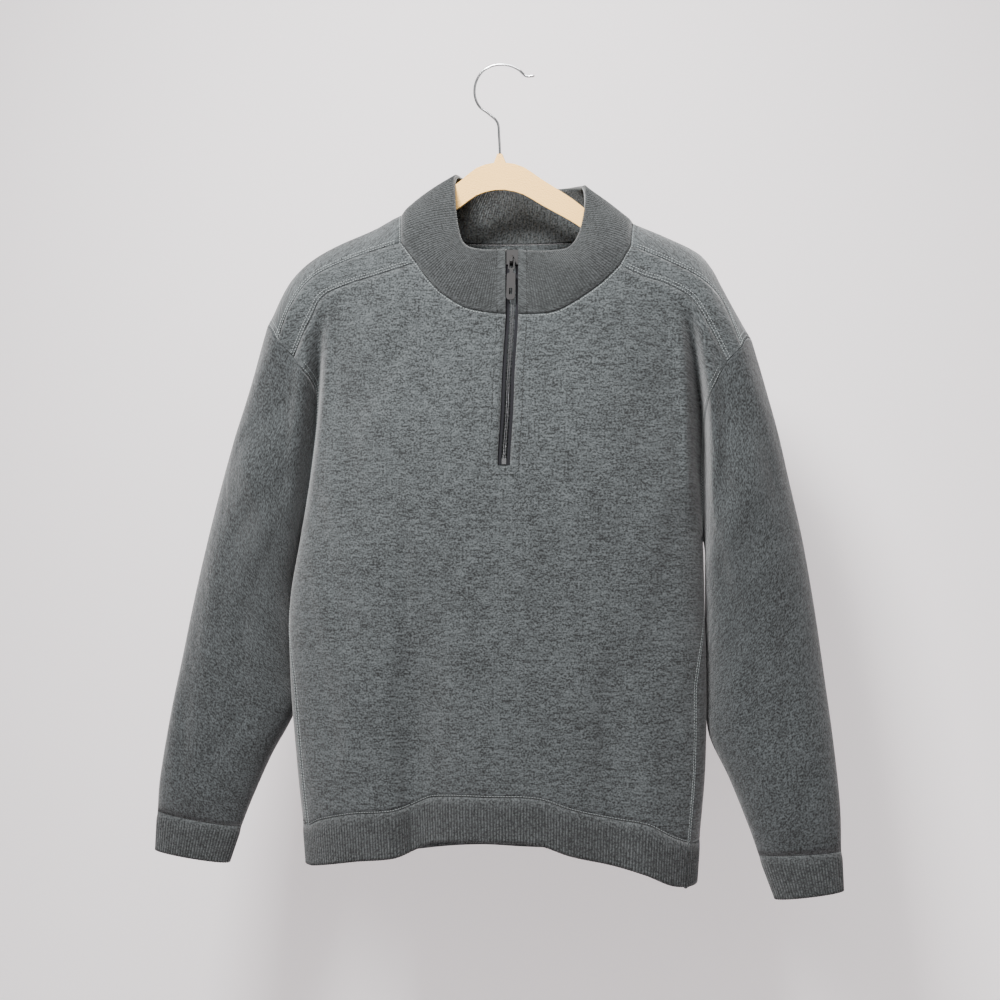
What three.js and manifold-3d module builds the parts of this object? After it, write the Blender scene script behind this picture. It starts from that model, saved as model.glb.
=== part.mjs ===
// Quarter zip sweater on a clothes hanger. Millimetres, +X to the viewer's right, +Y away, +Z up.
// The origin is the inside top of the hanger's hook. The sweater's front faces -Y.
import * as THREE from "three";
import { mergeVertices } from "three/addons/utils/BufferGeometryUtils.js";
import Module from "manifold-3d";

const wasm = await Module();
wasm.setup();

// Driving dimensions
const CLOTH_THICK = 2;
const RIB_THICK = 2.4;
const COLLAR_THICK = 4;
const SEAM_INSET = 0.15;
const BENT_SEAM_INSET = 0.6;
const COLLAR_INSET = 0.8;
const RIB_HEIGHT = 0.8;
const SHOULDER_ARCH = 130;
const FLANK_ARCH = 60;
const UNFOLD_RADIUS = 95;
const ROUND_POWER = 2.5;
const SEAM_WRAP_DEG = 20;
const UNDERARM_Z = -518;
const ZIP_OPEN_HALF = 6.65;
const ZIP_BOTTOM_Z = -441;
const TAPE_HALF = 15;
const TAPE_THICK = 1;
const TEETH_HALF = 2.6;
const TEETH_THICK = 1.8;
const TAPE_NEAR = 3;
const TAPE_GAP = 0.3;
const TAPE_TOP_Z = -212;
const TAPE_FOOT_Z = -449;
const TEETH_TOP_Z = -227;
const STOP_THICK = 3;
const HANGER_THICK = 5.5;
const HOOK_RADIUS = 1.5;

// The slider across the zip: half widths, and its faces from front to back behind the cloth's middle
const SLIDER = { frontHalf: 6.3, backHalf: 5.5, webHalf: 2.4, faces: [0.2, 1.8, 3.9, 5.3], long: 16.5 };
const BRIDGE = { foot: -8, top: 0.2, out: 6.2, wide: 3, thick: 1.3 };
const TAB = {
  barZ: -4,
  out: 3.6,
  thick: 1.6,
  ringHalf: 3.6,
  ringWall: 1.5,
  ringLong: 12.5,
  neckHalf: 1.8,
  neckFoot: -19,
  half: 4.7,
  foot: -49,
  slot: { half: 1.7, top: -36, foot: -43 },
};
const HANGER_BOSS = { wide: 13, topHalf: 2.6, top: -97, foot: -106.8 };

// How many cells each stretch of a panel is cut into
const CELLS = {
  seam: 8,
  neck: 4,
  backNeck: 16,
  armhole: 8,
  side: 10,
  strip: 2,
  yoke: 3,
  backArmhole: 9,
  sleeve: 13,
};
const RIBS = { collar: 74, hem: 110, cuff: 24 };

// The line of the shoulders on the hanger, from the left armhole to the right one
const SHOULDER_LINE = [
  { x: -264, z: -296 },
  { x: -258, z: -283 },
  { x: -249, z: -266 },
  { x: -241, z: -249 },
  { x: -230, z: -231 },
  { x: -211, z: -213 },
  { x: -183, z: -197 },
  { x: -137, z: -178 },
  { x: -110, z: -164 },
  { x: -60, z: -150 },
  { x: 20, z: -146 },
  { x: 95, z: -156 },
  { x: 147, z: -178 },
  { x: 184, z: -194 },
  { x: 218, z: -212 },
  { x: 232, z: -229 },
  { x: 241, z: -246 },
  { x: 250, z: -263 },
  { x: 261, z: -283 },
  { x: 274, z: -306 },
];

// The trunk at each height: its side edges, how far the front and the back stand out,
// and how far the cloth beside the armhole stands out in front and behind
const TRUNK = [
  { z: -140, left: -230, right: 250, front: 62, back: 56, flankFront: 44, flankBack: 44 },
  { z: -230, left: -216, right: 232, front: 66, back: 62, flankFront: 46, flankBack: 46 },
  { z: -270, left: -201, right: 216, front: 70, back: 66, flankFront: 46, flankBack: 45 },
  { z: -332, left: -199, right: 213, front: 77, back: 70, flankFront: 38, flankBack: 38 },
  { z: -389, left: -204, right: 214, front: 83, back: 72, flankFront: 26, flankBack: 27 },
  { z: -433, left: -209, right: 216, front: 85, back: 72, flankFront: 19, flankBack: 20 },
  { z: -477, left: -215, right: 220, front: 85, back: 72, flankFront: 10, flankBack: 10 },
  { z: -518, left: -221, right: 221, front: 84, back: 71, flankFront: 0, flankBack: 0 },
  { z: -588, left: -233, right: 223, front: 81, back: 69, flankFront: 0, flankBack: 0 },
  { z: -671, left: -233, right: 225, front: 78, back: 68, flankFront: 0, flankBack: 0 },
  { z: -765, left: -226, right: 224, front: 75, back: 67, flankFront: 0, flankBack: 0 },
  { z: -840, left: -218, right: 218, front: 72, back: 65, flankFront: 0, flankBack: 0 },
  { z: -895, left: -210, right: 213, front: 67, back: 60, flankFront: 0, flankBack: 0 },
];

// Long soft folds of the trunk: where each runs, how deep it is at its ends and how wide on each side
const FRONT_FOLDS = [
  { topX: -84, topZ: -505, footX: -92, footZ: -880, topDeep: 0, footDeep: 17, left: 9, right: 42 },
  { topX: 134, topZ: -600, footX: 132, footZ: -880, topDeep: 0, footDeep: 11, left: 34, right: 26 },
  { topX: -168, topZ: -330, footX: -150, footZ: -560, topDeep: 6, footDeep: 0, left: 16, right: 24 },
  { topX: 176, topZ: -330, footX: 160, footZ: -540, topDeep: 5, footDeep: 0, left: 26, right: 16 },
];
const BACK_FOLDS = [
  { topX: -110, topZ: -560, footX: -118, footZ: -880, topDeep: 0, footDeep: 13, left: 24, right: 34 },
  { topX: 24, topZ: -620, footX: 12, footZ: -880, topDeep: 0, footDeep: 8, left: 30, right: 30 },
  { topX: 126, topZ: -520, footX: 140, footZ: -880, topDeep: 0, footDeep: 12, left: 30, right: 20 },
  { topX: -168, topZ: -330, footX: -150, footZ: -540, topDeep: 6, footDeep: 0, left: 16, right: 24 },
  { topX: 172, topZ: -330, footX: 160, footZ: -540, topDeep: 6, footDeep: 0, left: 24, right: 16 },
];

// The crease between the body and each sleeve in front of the armhole, with a roll on both its sides
const ROLL_OFF = 13;
const ROLL_SHARE = 0.42;
const ARM_CREASE = [
  { z: -272, left: -190, right: 207, half: 7, deepLeft: 0, deepRight: 0 },
  { z: -300, left: -194, right: 212, half: 7, deepLeft: 7, deepRight: 12 },
  { z: -340, left: -199, right: 217, half: 8, deepLeft: 17, deepRight: 24 },
  { z: -390, left: -205, right: 221, half: 8, deepLeft: 19, deepRight: 28 },
  { z: -433, left: -210, right: 222, half: 8, deepLeft: 14, deepRight: 24 },
  { z: -477, left: -216, right: 222, half: 7, deepLeft: 6, deepRight: 9 },
  { z: -510, left: -221, right: 221, half: 6, deepLeft: 0, deepRight: 0 },
];

// The hem band's seam and lower edge across the front, and across the back
const HEM_FRONT = [
  { x: -206, seam: -834, foot: -879 },
  { x: -190, seam: -826, foot: -876 },
  { x: -151, seam: -817, foot: -869 },
  { x: -111, seam: -813, foot: -864 },
  { x: -90, seam: -807, foot: -857 },
  { x: -63, seam: -796, foot: -846 },
  { x: 4, seam: -794, foot: -843 },
  { x: 52, seam: -795, foot: -845 },
  { x: 85, seam: -806, foot: -856 },
  { x: 130, seam: -817, foot: -867 },
  { x: 166, seam: -823, foot: -877 },
  { x: 192, seam: -837, foot: -889 },
  { x: 211, seam: -846, foot: -893 },
];
const HEM_BACK = [
  { x: -218, seam: -834, foot: -879 },
  { x: -150, seam: -829, foot: -877 },
  { x: 0, seam: -819, foot: -867 },
  { x: 150, seam: -832, foot: -881 },
  { x: 221, seam: -846, foot: -893 },
];

// The neck seam from the zip to the shoulder line, and behind from one shoulder line to the other
const NECK_LEFT = [
  { x: -8, z: -277 },
  { x: -28, z: -272 },
  { x: -55, z: -255 },
  { x: -72, z: -237 },
];
const NECK_RIGHT = [
  { x: 51, z: -280 },
  { x: 71, z: -277 },
  { x: 105, z: -257 },
  { x: 122, z: -243 },
];
const NECK_FRONT_Z = -280;
const NECK_BACK = [
  { x: -101, z: -199, face: -1 },
  { x: -110, z: -164, face: 0 },
  { x: -96, z: -182, face: 1 },
  { x: -60, z: -188, face: 1 },
  { x: 20, z: -191, face: 1 },
  { x: 95, z: -190, face: 1 },
  { x: 134, z: -192, face: 1 },
  { x: 147, z: -178, face: 0 },
  { x: 147, z: -206, face: -1 },
];

// The strip's two seams on each shoulder, from the neck to the armhole
const STRIP_UPPER_LEFT = [
  { x: -101, z: -199 },
  { x: -161, z: -216 },
  { x: -203, z: -236 },
  { x: -224, z: -264 },
  { x: -240, z: -303 },
];
const STRIP_LOWER_LEFT = [
  { x: -83, z: -222 },
  { x: -125, z: -234 },
  { x: -158, z: -243 },
  { x: -188, z: -256 },
  { x: -203, z: -282 },
  { x: -222, z: -321 },
];
const STRIP_UPPER_RIGHT = [
  { x: 147, z: -206 },
  { x: 186, z: -223 },
  { x: 223, z: -243 },
  { x: 243, z: -264 },
  { x: 264, z: -314 },
];
const STRIP_LOWER_RIGHT = [
  { x: 136, z: -228 },
  { x: 162, z: -240 },
  { x: 184, z: -247 },
  { x: 211, z: -263 },
  { x: 228, z: -289 },
  { x: 249, z: -330 },
];

// The armhole seam below the strip in front, and from the strip over the shoulder line behind
const ARMHOLE_FRONT_LEFT = [
  { x: -222, z: -321 },
  { x: -206, z: -347 },
  { x: -204, z: -389 },
  { x: -209, z: -433 },
  { x: -215, z: -477 },
  { x: -221, z: UNDERARM_Z },
];
const ARMHOLE_FRONT_RIGHT = [
  { x: 249, z: -330 },
  { x: 236, z: -355 },
  { x: 226, z: -389 },
  { x: 223, z: -433 },
  { x: 223, z: -477 },
  { x: 223, z: UNDERARM_Z },
];
const ARMHOLE_BACK_LEFT = [
  { x: -240, z: -303, face: -1 },
  { x: -264, z: -296, face: 0 },
  { x: -245, z: -310, face: 1 },
  { x: -222, z: -335, face: 1 },
  { x: -210, z: -389, face: 1 },
  { x: -211, z: -433, face: 1 },
  { x: -216, z: -477, face: 1 },
  { x: -221, z: UNDERARM_Z, face: 1 },
];
const ARMHOLE_BACK_RIGHT = [
  { x: 264, z: -314, face: -1 },
  { x: 274, z: -306, face: 0 },
  { x: 258, z: -322, face: 1 },
  { x: 238, z: -348, face: 1 },
  { x: 220, z: -389, face: 1 },
  { x: 217, z: -433, face: 1 },
  { x: 220.6, z: -477, face: 1 },
  { x: 223, z: UNDERARM_Z, face: 1 },
];

// Sleeves, from the armhole to the cuff seam: outer edge, inner edge, half depth and its middle
const LEFT_SLEEVE = [
  { t: 0, outX: -264, outZ: -296, inX: -221, inZ: -518, deep: 46, midY: 0 },
  { t: 0.08, outX: -278, outZ: -336, inX: -227.5, inZ: -534, deep: 49, midY: 6 },
  { t: 0.18, outX: -294, outZ: -388, inX: -232, inZ: -556, deep: 51, midY: 11 },
  { t: 0.3, outX: -313, outZ: -450, inX: -236, inZ: -590, deep: 50, midY: 15 },
  { t: 0.42, outX: -330, outZ: -512, inX: -236, inZ: -630, deep: 48, midY: 16 },
  { t: 0.55, outX: -347, outZ: -584, inX: -235.5, inZ: -674, deep: 44, midY: 14 },
  { t: 0.68, outX: -361, outZ: -655, inX: -235, inZ: -713, deep: 39, midY: 9 },
  { t: 0.8, outX: -372, outZ: -716, inX: -260, inZ: -763, deep: 34, midY: 1 },
  { t: 0.92, outX: -383, outZ: -790, inX: -281, inZ: -813, deep: 28, midY: -6 },
  { t: 1, outX: -385, outZ: -825, inX: -291, inZ: -840, deep: 20, midY: -9 },
];
const RIGHT_SLEEVE = [
  { t: 0, outX: 274, outZ: -306, inX: 223, inZ: -518, deep: 46, midY: 0 },
  { t: 0.08, outX: 286, outZ: -346, inX: 225, inZ: -534, deep: 49, midY: 6 },
  { t: 0.18, outX: 300, outZ: -396, inX: 225, inZ: -556, deep: 51, midY: 11 },
  { t: 0.3, outX: 315, outZ: -462, inX: 225, inZ: -595, deep: 50, midY: 15 },
  { t: 0.42, outX: 328, outZ: -520, inX: 225.5, inZ: -638, deep: 48, midY: 16 },
  { t: 0.55, outX: 341, outZ: -595, inX: 226.5, inZ: -684, deep: 44, midY: 14 },
  { t: 0.68, outX: 352, outZ: -672, inX: 229, inZ: -731, deep: 39, midY: 9 },
  { t: 0.8, outX: 361, outZ: -738, inX: 251, inZ: -777, deep: 34, midY: 1 },
  { t: 0.92, outX: 368, outZ: -806, inX: 273, inZ: -830, deep: 28, midY: -6 },
  { t: 1, outX: 369, outZ: -852, inX: 283, inZ: -858, deep: 20, midY: -9 },
];
const CUFF_FEET = {
  left: { outX: -387, outZ: -869, inX: -305, inZ: -881, deep: 18, midY: -10 },
  right: { outX: 371, outZ: -895, inX: 301, inZ: -905, deep: 18, midY: -10 },
};

// The collar's top edge from the right side of the zip round the back to its left side
const COLLAR_TOP = [
  { t: 0, x: 28, y: -57, z: -210 },
  { t: 0.08, x: 58, y: -57, z: -212 },
  { t: 0.14, x: 80, y: -50, z: -209 },
  { t: 0.2, x: 91, y: -36, z: -192 },
  { t: 0.26, x: 95, y: -18, z: -163 },
  { t: 0.31, x: 93, y: 3, z: -137 },
  { t: 0.37, x: 84, y: 28, z: -131 },
  { t: 0.43, x: 60, y: 44, z: -130 },
  { t: 0.5, x: 20, y: 50, z: -128 },
  { t: 0.57, x: -16, y: 45, z: -126 },
  { t: 0.63, x: -40, y: 28, z: -122 },
  { t: 0.69, x: -50, y: 3, z: -121 },
  { t: 0.74, x: -47, y: -18, z: -148 },
  { t: 0.8, x: -40, y: -37, z: -184 },
  { t: 0.86, x: -31, y: -49, z: -203 },
  { t: 0.92, x: -14, y: -56, z: -209 },
  { t: 1, x: 14, y: -57, z: -209 },
];
const COLLAR_BULGE = 5;
const COLLAR_FLAT_SHARE = 0.12;
const COLLAR_PLAIN_SHARE = 0.018;

// The middle of the zip, from the collar's top down
const ZIP_MIDDLE = [
  { z: -205, x: 21 },
  { z: -275, x: 23 },
  { z: -343, x: 20 },
  { z: -385, x: 19 },
  { z: -441, x: 16 },
  { z: -900, x: 14 },
];

// The hanger's upper edge, and how deep it is below it
const HANGER_EDGE = [
  { x: -212, top: -220.5, deep: 11 },
  { x: -183, top: -202, deep: 19 },
  { x: -137, top: -183.5, deep: 20 },
  { x: -110, top: -171, deep: 22 },
  { x: -80, top: -151, deep: 25 },
  { x: -48, top: -129, deep: 28 },
  { x: -24, top: -111, deep: 30 },
  { x: -6, top: -106.5, deep: 30 },
  { x: 6, top: -106.5, deep: 30 },
  { x: 24, top: -111, deep: 30 },
  { x: 48, top: -127, deep: 28 },
  { x: 80, top: -148, deep: 25 },
  { x: 110, top: -171, deep: 22 },
  { x: 147, top: -187, deep: 20 },
  { x: 184, top: -198, deep: 19 },
  { x: 214, top: -217, deep: 11 },
];
const HOOK_PATH = [
  { x: 0, z: -96.7 },
  { x: -1, z: -78 },
  { x: -3, z: -62 },
  { x: -13, z: -52 },
  { x: -23, z: -44 },
  { x: -28, z: -32 },
  { x: -27, z: -18 },
  { x: -20, z: -6 },
  { x: -10, z: 0 },
  { x: 0, z: 1.5 },
  { x: 11, z: 0 },
  { x: 21, z: -5 },
  { x: 29, z: -12 },
  { x: 37, z: -12 },
];

// Reading tables and curves
const clamp01 = (t) => Math.min(1, Math.max(0, t));
const mix = (a, b, t) => a + (b - a) * t;

function smooth(t) {
  const c = clamp01(t);
  return c * c * (3 - 2 * c);
}

// A column of a table at a value of its key column, on a smooth curve through the rows
function valueAt(rows, key, name, at) {
  const last = rows.length - 1;
  const sense = Math.sign(rows[last][key] - rows[0][key]);
  let i = 0;
  while (i < last - 1 && (at - rows[i + 1][key]) * sense > 0) i += 1;
  const slope = (j) => {
    const before = rows[Math.max(0, j - 1)];
    const after = rows[Math.min(last, j + 1)];
    return (after[name] - before[name]) / (after[key] - before[key]);
  };
  const span = rows[i + 1][key] - rows[i][key];
  const t = clamp01((at - rows[i][key]) / span);
  const t2 = t * t;
  const t3 = t2 * t;
  const ends = rows[i][name] * (2 * t3 - 3 * t2 + 1) + rows[i + 1][name] * (3 * t2 - 2 * t3);
  return ends + span * (slope(i) * (t3 - 2 * t2 + t) + slope(i + 1) * (t3 - t2));
}

// Many close points on a smooth curve through a list of [a, b] pairs
function drawn(pairs, steps = 20) {
  const curve = new THREE.CatmullRomCurve3(
    pairs.map((p) => new THREE.Vector3(p[0], p[1], 0)),
    false,
    "centripetal",
  );
  return curve.getSpacedPoints((pairs.length - 1) * steps).map((p) => [p.x, p.y]);
}

// Points of a drawn line at the given fractions of its length
function atFractions(line, fractions) {
  const lengths = [0];
  for (let i = 1; i < line.length; i += 1) {
    const step = Math.hypot(line[i][0] - line[i - 1][0], line[i][1] - line[i - 1][1]);
    lengths.push(lengths[i - 1] + step);
  }
  const whole = lengths[lengths.length - 1];
  return fractions.map((f) => {
    let i = 1;
    while (i < line.length - 1 && lengths[i] < f * whole) i += 1;
    const t = clamp01((f * whole - lengths[i - 1]) / (lengths[i] - lengths[i - 1]));
    return [mix(line[i - 1][0], line[i][0], t), mix(line[i - 1][1], line[i][1], t)];
  });
}

const evenFractions = (n) => Array.from({ length: n + 1 }, (_, i) => i / n);

// The trunk's surface
const shoulderZ = (x) => valueAt(SHOULDER_LINE, "x", "z", x);

function archRise(drop, reach) {
  const t = clamp01(drop / reach);
  return Math.sqrt(1 - (1 - t) ** 2);
}

function foldDepth(folds, x, z) {
  let sum = 0;
  for (const f of folds) {
    const along = (z - f.topZ) / (f.footZ - f.topZ);
    if (along < 0 || along > 1.1) continue;
    const away = x - mix(f.topX, f.footX, along);
    const width = away < 0 ? f.left : f.right;
    const fade = f.footDeep > 0 ? smooth(along * 1.4) : smooth(along * 6) * smooth((1 - along) * 1.5);
    sum += Math.max(f.topDeep, f.footDeep) * fade * Math.exp(-((away / width) ** 2));
  }
  return sum;
}

// face -1 is the front and 1 the back; the result is the y of the cloth's middle layer
function trunkY(x, z, face) {
  const left = valueAt(TRUNK, "z", "left", z);
  const right = valueAt(TRUNK, "z", "right", z);
  const q = (2 * x - left - right) / (right - left);
  const drop = shoulderZ(x) - z;
  const deep = valueAt(TRUNK, "z", face < 0 ? "front" : "back", z);
  const flank = Math.max(0, valueAt(TRUNK, "z", face < 0 ? "flankFront" : "flankBack", z));
  const round = Math.max(0, 1 - Math.abs(q) ** ROUND_POWER) ** (1 / ROUND_POWER);
  const folds = foldDepth(face < 0 ? FRONT_FOLDS : BACK_FOLDS, x, z);
  const trunk = Math.max(0, deep * archRise(drop, SHOULDER_ARCH) - folds) * round;
  const beside = flank * archRise(drop, FLANK_ARCH);
  return face * (trunk ** 6 + beside ** 6) ** (1 / 6);
}

// The back panel is laid out as x and the way run down from the shoulder line, less than 0 in front
function runOf(x, z, face) {
  const drop = Math.max(0, shoulderZ(x) - z);
  const turn = Math.acos(1 - Math.min(1, drop / SHOULDER_ARCH));
  const run = UNFOLD_RADIUS * turn + Math.max(0, drop - SHOULDER_ARCH);
  return face < 0 ? -run : run;
}

function dropOfRun(run) {
  const turn = Math.min(Math.PI / 2, Math.abs(run) / UNFOLD_RADIUS);
  return SHOULDER_ARCH * (1 - Math.cos(turn)) + Math.max(0, Math.abs(run) - (UNFOLD_RADIUS * Math.PI) / 2);
}

// How far the side seam has come round to the front at a height, 0 to 1
const seamWrap = (z) => smooth((-560 - z) / 130);

function sideSeamX(z, side) {
  const left = valueAt(TRUNK, "z", "left", z);
  const right = valueAt(TRUNK, "z", "right", z);
  const angle = THREE.MathUtils.degToRad(90 - SEAM_WRAP_DEG * seamWrap(z));
  return (left + right) / 2 + (side * (right - left) * Math.sin(angle) ** (2 / ROUND_POWER)) / 2;
}

// A point of the back panel: below the underarm its edges come round to the front
function backPoint(x, run) {
  const z = shoulderZ(x) - dropOfRun(run);
  if (run < 0) return new THREE.Vector3(x, trunkY(x, z, -1), z);
  if (seamWrap(z) === 0) return new THREE.Vector3(x, trunkY(x, z, 1), z);
  const left = valueAt(TRUNK, "z", "left", z);
  const right = valueAt(TRUNK, "z", "right", z);
  const q = (2 * x - left - right) / (right - left);
  const stretch = 1 + (SEAM_WRAP_DEG / 90) * seamWrap(z);
  const angle = Math.asin(Math.min(1, Math.abs(q)) ** (ROUND_POWER / 2)) * stretch;
  const across = Math.abs(Math.sin(angle)) ** (2 / ROUND_POWER);
  const wrapped = (left + right) / 2 + (Math.sign(q) * (right - left) * across) / 2;
  return new THREE.Vector3(wrapped, trunkY(wrapped, z, Math.cos(angle) < 0 ? -1 : 1), z);
}

const frontPoint = (x, z) => new THREE.Vector3(x, trunkY(x, z, -1), z);

// A patch of points between four boundary lines of pairs, by Coons' rule
function patch(top, foot, left, right, across, down) {
  return down.map((v, j) =>
    across.map((u, i) =>
      [0, 1].map((k) => {
        const sides = mix(left[j][k], right[j][k], u);
        const ends = mix(top[i][k], foot[i][k], v);
        const low = mix(foot[0][k], foot[across.length - 1][k], u);
        const high = mix(top[0][k], top[across.length - 1][k], u);
        return sides + ends - mix(high, low, v);
      }),
    ),
  );
}

// Columns close together towards the side seams, where the cloth turns away
const HALF_CELLS = CELLS.seam + CELLS.neck;
const edgeShare = (i) => Math.sin((Math.PI / 2) * (1 - i / HALF_CELLS)) ** (2 / ROUND_POWER);
const halfAcross = Array.from({ length: HALF_CELLS + 1 }, (_, i) => 1 - edgeShare(i));
const seamFractions = halfAcross.slice(0, CELLS.seam + 1).map((u) => u / halfAcross[CELLS.seam]);

const zipX = (z) => valueAt(ZIP_MIDDLE, "z", "x", z);
const pairs = (rows) => rows.map((r) => [r.x, r.z]);
const reversed = (list) => [...list].reverse();

// Heights of the rows down the two sides below the underarm
function sideRows(side) {
  const seamZ = HEM_FRONT[side < 0 ? 0 : HEM_FRONT.length - 1].seam;
  return evenFractions(CELLS.side).map((f) => {
    const z = mix(UNDERARM_Z, seamZ, f);
    return [sideSeamX(z, side), z];
  });
}

// Half of the front panel, from the side to the zip
function frontHalf(side) {
  const lower = side < 0 ? STRIP_LOWER_LEFT : STRIP_LOWER_RIGHT;
  const neck = side < 0 ? NECK_LEFT : NECK_RIGHT;
  const zipEdge = [zipX(NECK_FRONT_Z) + side * ZIP_OPEN_HALF, NECK_FRONT_Z];
  const seamPart = atFractions(drawn(reversed(pairs(lower))), seamFractions);
  const corner = [lower[0].x, lower[0].z];
  const neckLine = drawn([corner, ...reversed(pairs(neck)), zipEdge]);
  const neckPart = atFractions(neckLine, evenFractions(CELLS.neck));
  const top = [...seamPart, ...neckPart.slice(1)];
  const armhole = drawn(pairs(side < 0 ? ARMHOLE_FRONT_LEFT : ARMHOLE_FRONT_RIGHT));
  const outer = [...atFractions(armhole, evenFractions(CELLS.armhole)), ...sideRows(side).slice(1)];
  const rows = CELLS.armhole + CELLS.side;
  const split = Math.round(rows * 0.31);
  const hemX = (z) => zipX(z) + side * ZIP_OPEN_HALF;
  const inner = outer.map((_, j) => {
    const footZ = valueAt(HEM_FRONT, "x", "seam", hemX(-800));
    const z =
      j <= split
        ? mix(NECK_FRONT_Z, ZIP_BOTTOM_Z, j / split)
        : mix(ZIP_BOTTOM_Z, footZ, (j - split) / (rows - split));
    return [hemX(z), z];
  });
  const seamEnd = outer[rows];
  const zipEnd = inner[rows];
  const foot = halfAcross.map((u) => {
    const x = mix(seamEnd[0], zipEnd[0], u);
    return [x, valueAt(HEM_FRONT, "x", "seam", x)];
  });
  foot[0] = seamEnd;
  foot[HALF_CELLS] = zipEnd;
  const down = outer.map((_, j) => j / rows);
  return { cells: patch(top, foot, outer, inner, halfAcross, down), split };
}

function frontGrid() {
  const left = frontHalf(-1);
  const right = frontHalf(1);
  const points = left.cells.map((row, j) => {
    const middleZ = (row[HALF_CELLS][1] + right.cells[j][HALF_CELLS][1]) / 2;
    const middle = [zipX(middleZ), middleZ];
    return [...row, middle, ...reversed(right.cells[j])].map((p) => frontPoint(p[0], p[1]));
  });
  const isOpen = (r, c) => r < left.split && (c === HALF_CELLS || c === HALF_CELLS + 1);
  return { points, isOpen, split: left.split };
}

// The strip between the two shoulder seams of one side, from the armhole to the neck
function stripGrid(side) {
  const upperRows = side < 0 ? STRIP_UPPER_LEFT : STRIP_UPPER_RIGHT;
  const lowerRows = side < 0 ? STRIP_LOWER_LEFT : STRIP_LOWER_RIGHT;
  const upper = atFractions(drawn(reversed(pairs(upperRows))), seamFractions);
  const lower = atFractions(drawn(reversed(pairs(lowerRows))), seamFractions);
  return evenFractions(CELLS.strip).map((v) =>
    upper.map((p, i) => frontPoint(mix(p[0], lower[i][0], v), mix(p[1], lower[i][1], v))),
  );
}

// The back panel: the rows in front of the shoulder line stand only beside the neck
function backGrid() {
  const unfold = (rows) => rows.map((r) => [r.x, runOf(r.x, r.z, r.face)]);
  const drawnRun = (rows) => drawn(unfold(rows));
  const neckRows = NECK_BACK.slice(1, -1);
  const [neckLeft, neckRight] = [neckRows[0].x, neckRows[neckRows.length - 1].x];
  const ridge = (side) => {
    const rows = SHOULDER_LINE.filter((r) => (side < 0 ? r.x <= neckLeft : r.x >= neckRight));
    const line = drawn(pairs(side < 0 ? rows : reversed(rows)));
    return atFractions(line, seamFractions).map(([x]) => [x, 0]);
  };
  const neck = atFractions(drawnRun(neckRows), evenFractions(CELLS.backNeck));
  const top = [...ridge(-1), ...neck.slice(1, -1), ...reversed(ridge(1))];
  const edge = (side) => {
    const rows = side < 0 ? ARMHOLE_BACK_LEFT : ARMHOLE_BACK_RIGHT;
    const armhole = atFractions(drawnRun(rows.slice(1)), evenFractions(CELLS.backArmhole));
    const below = sideRows(side).slice(1).map(([, z]) => {
      const x = valueAt(TRUNK, "z", side < 0 ? "left" : "right", z);
      return [x, runOf(x, z, 1)];
    });
    return [...armhole, ...below];
  };
  const left = edge(-1);
  const right = edge(1);
  const outer = halfAcross.slice(0, CELLS.seam + 1).map((u) => u / 2);
  const inner = evenFractions(CELLS.backNeck).map((f) => mix(outer[CELLS.seam], 1 - outer[CELLS.seam], f));
  const across = [...outer, ...inner.slice(1, -1), ...reversed(outer).map((u) => 1 - u)];
  const rows = left.length - 1;
  const foot = across.map((u) => {
    const x = mix(left[rows][0], right[rows][0], u);
    return [x, runOf(x, valueAt(HEM_BACK, "x", "seam", x), 1)];
  });
  foot[0] = left[rows];
  foot[across.length - 1] = right[rows];
  const behind = patch(top, foot, left, right, across, left.map((_, j) => j / rows));
  const yoke = (side) => {
    const stripUpper = side < 0 ? STRIP_UPPER_LEFT : STRIP_UPPER_RIGHT;
    const seam = atFractions(drawn(reversed(pairs(stripUpper))), seamFractions);
    const upper = seam.map(([x, z]) => [x, runOf(x, z, -1)]);
    const lower = ridge(side);
    const down = evenFractions(CELLS.yoke);
    const across = (k, v, axis) => mix(upper[k][axis], lower[k][axis], v);
    const between = (k) => down.map((v) => [across(k, v, 0), across(k, v, 1)]);
    return patch(upper, lower, between(0), between(CELLS.seam), evenFractions(CELLS.seam), down);
  };
  const [leftYoke, rightYoke] = [yoke(-1), yoke(1)];
  const unused = behind[0].slice(CELLS.seam + 1, CELLS.seam + CELLS.backNeck);
  const before = leftYoke.slice(0, -1).map((row, r) => [...row, ...unused, ...reversed(rightYoke[r])]);
  const points = [...before, ...behind].map((row) => row.map((p) => backPoint(p[0], p[1])));
  const isOpen = (r, c) => r < CELLS.yoke && c >= CELLS.seam && c < CELLS.seam + CELLS.backNeck;
  return { points, isOpen };
}

// The armhole's loop from the underarm up the back, over the shoulder and down the front
function armholeLoop(side, front, strip, back) {
  const outermost = (row) => (side < 0 ? row[0] : row[row.length - 1]);
  const edgeOf = (grid, rows) => grid.slice(0, rows + 1).map(outermost);
  const behind = reversed(edgeOf(back, CELLS.yoke + CELLS.backArmhole));
  const between = strip.map((row) => row[0]);
  const before = edgeOf(front, CELLS.armhole);
  return [...behind, ...between.slice(1), ...before.slice(1, -1)];
}

// An oval ring of a sleeve or cuff: turn 0 is its outer edge and pi its inner one, in front between them
function ringPoint(row, turn) {
  const across = Math.cos(turn);
  const bow = Math.sign(Math.sin(turn)) * Math.abs(Math.sin(turn)) ** 0.85;
  return new THREE.Vector3(
    mix(row.inX, row.outX, (1 + across) / 2),
    row.midY - row.deep * bow,
    mix(row.inZ, row.outZ, (1 + across) / 2),
  );
}

function sleeveRow(table, t) {
  const row = {};
  for (const name of ["outX", "outZ", "inX", "inZ", "deep", "midY"]) {
    row[name] = valueAt(table, "t", name, t);
  }
  return row;
}

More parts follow.
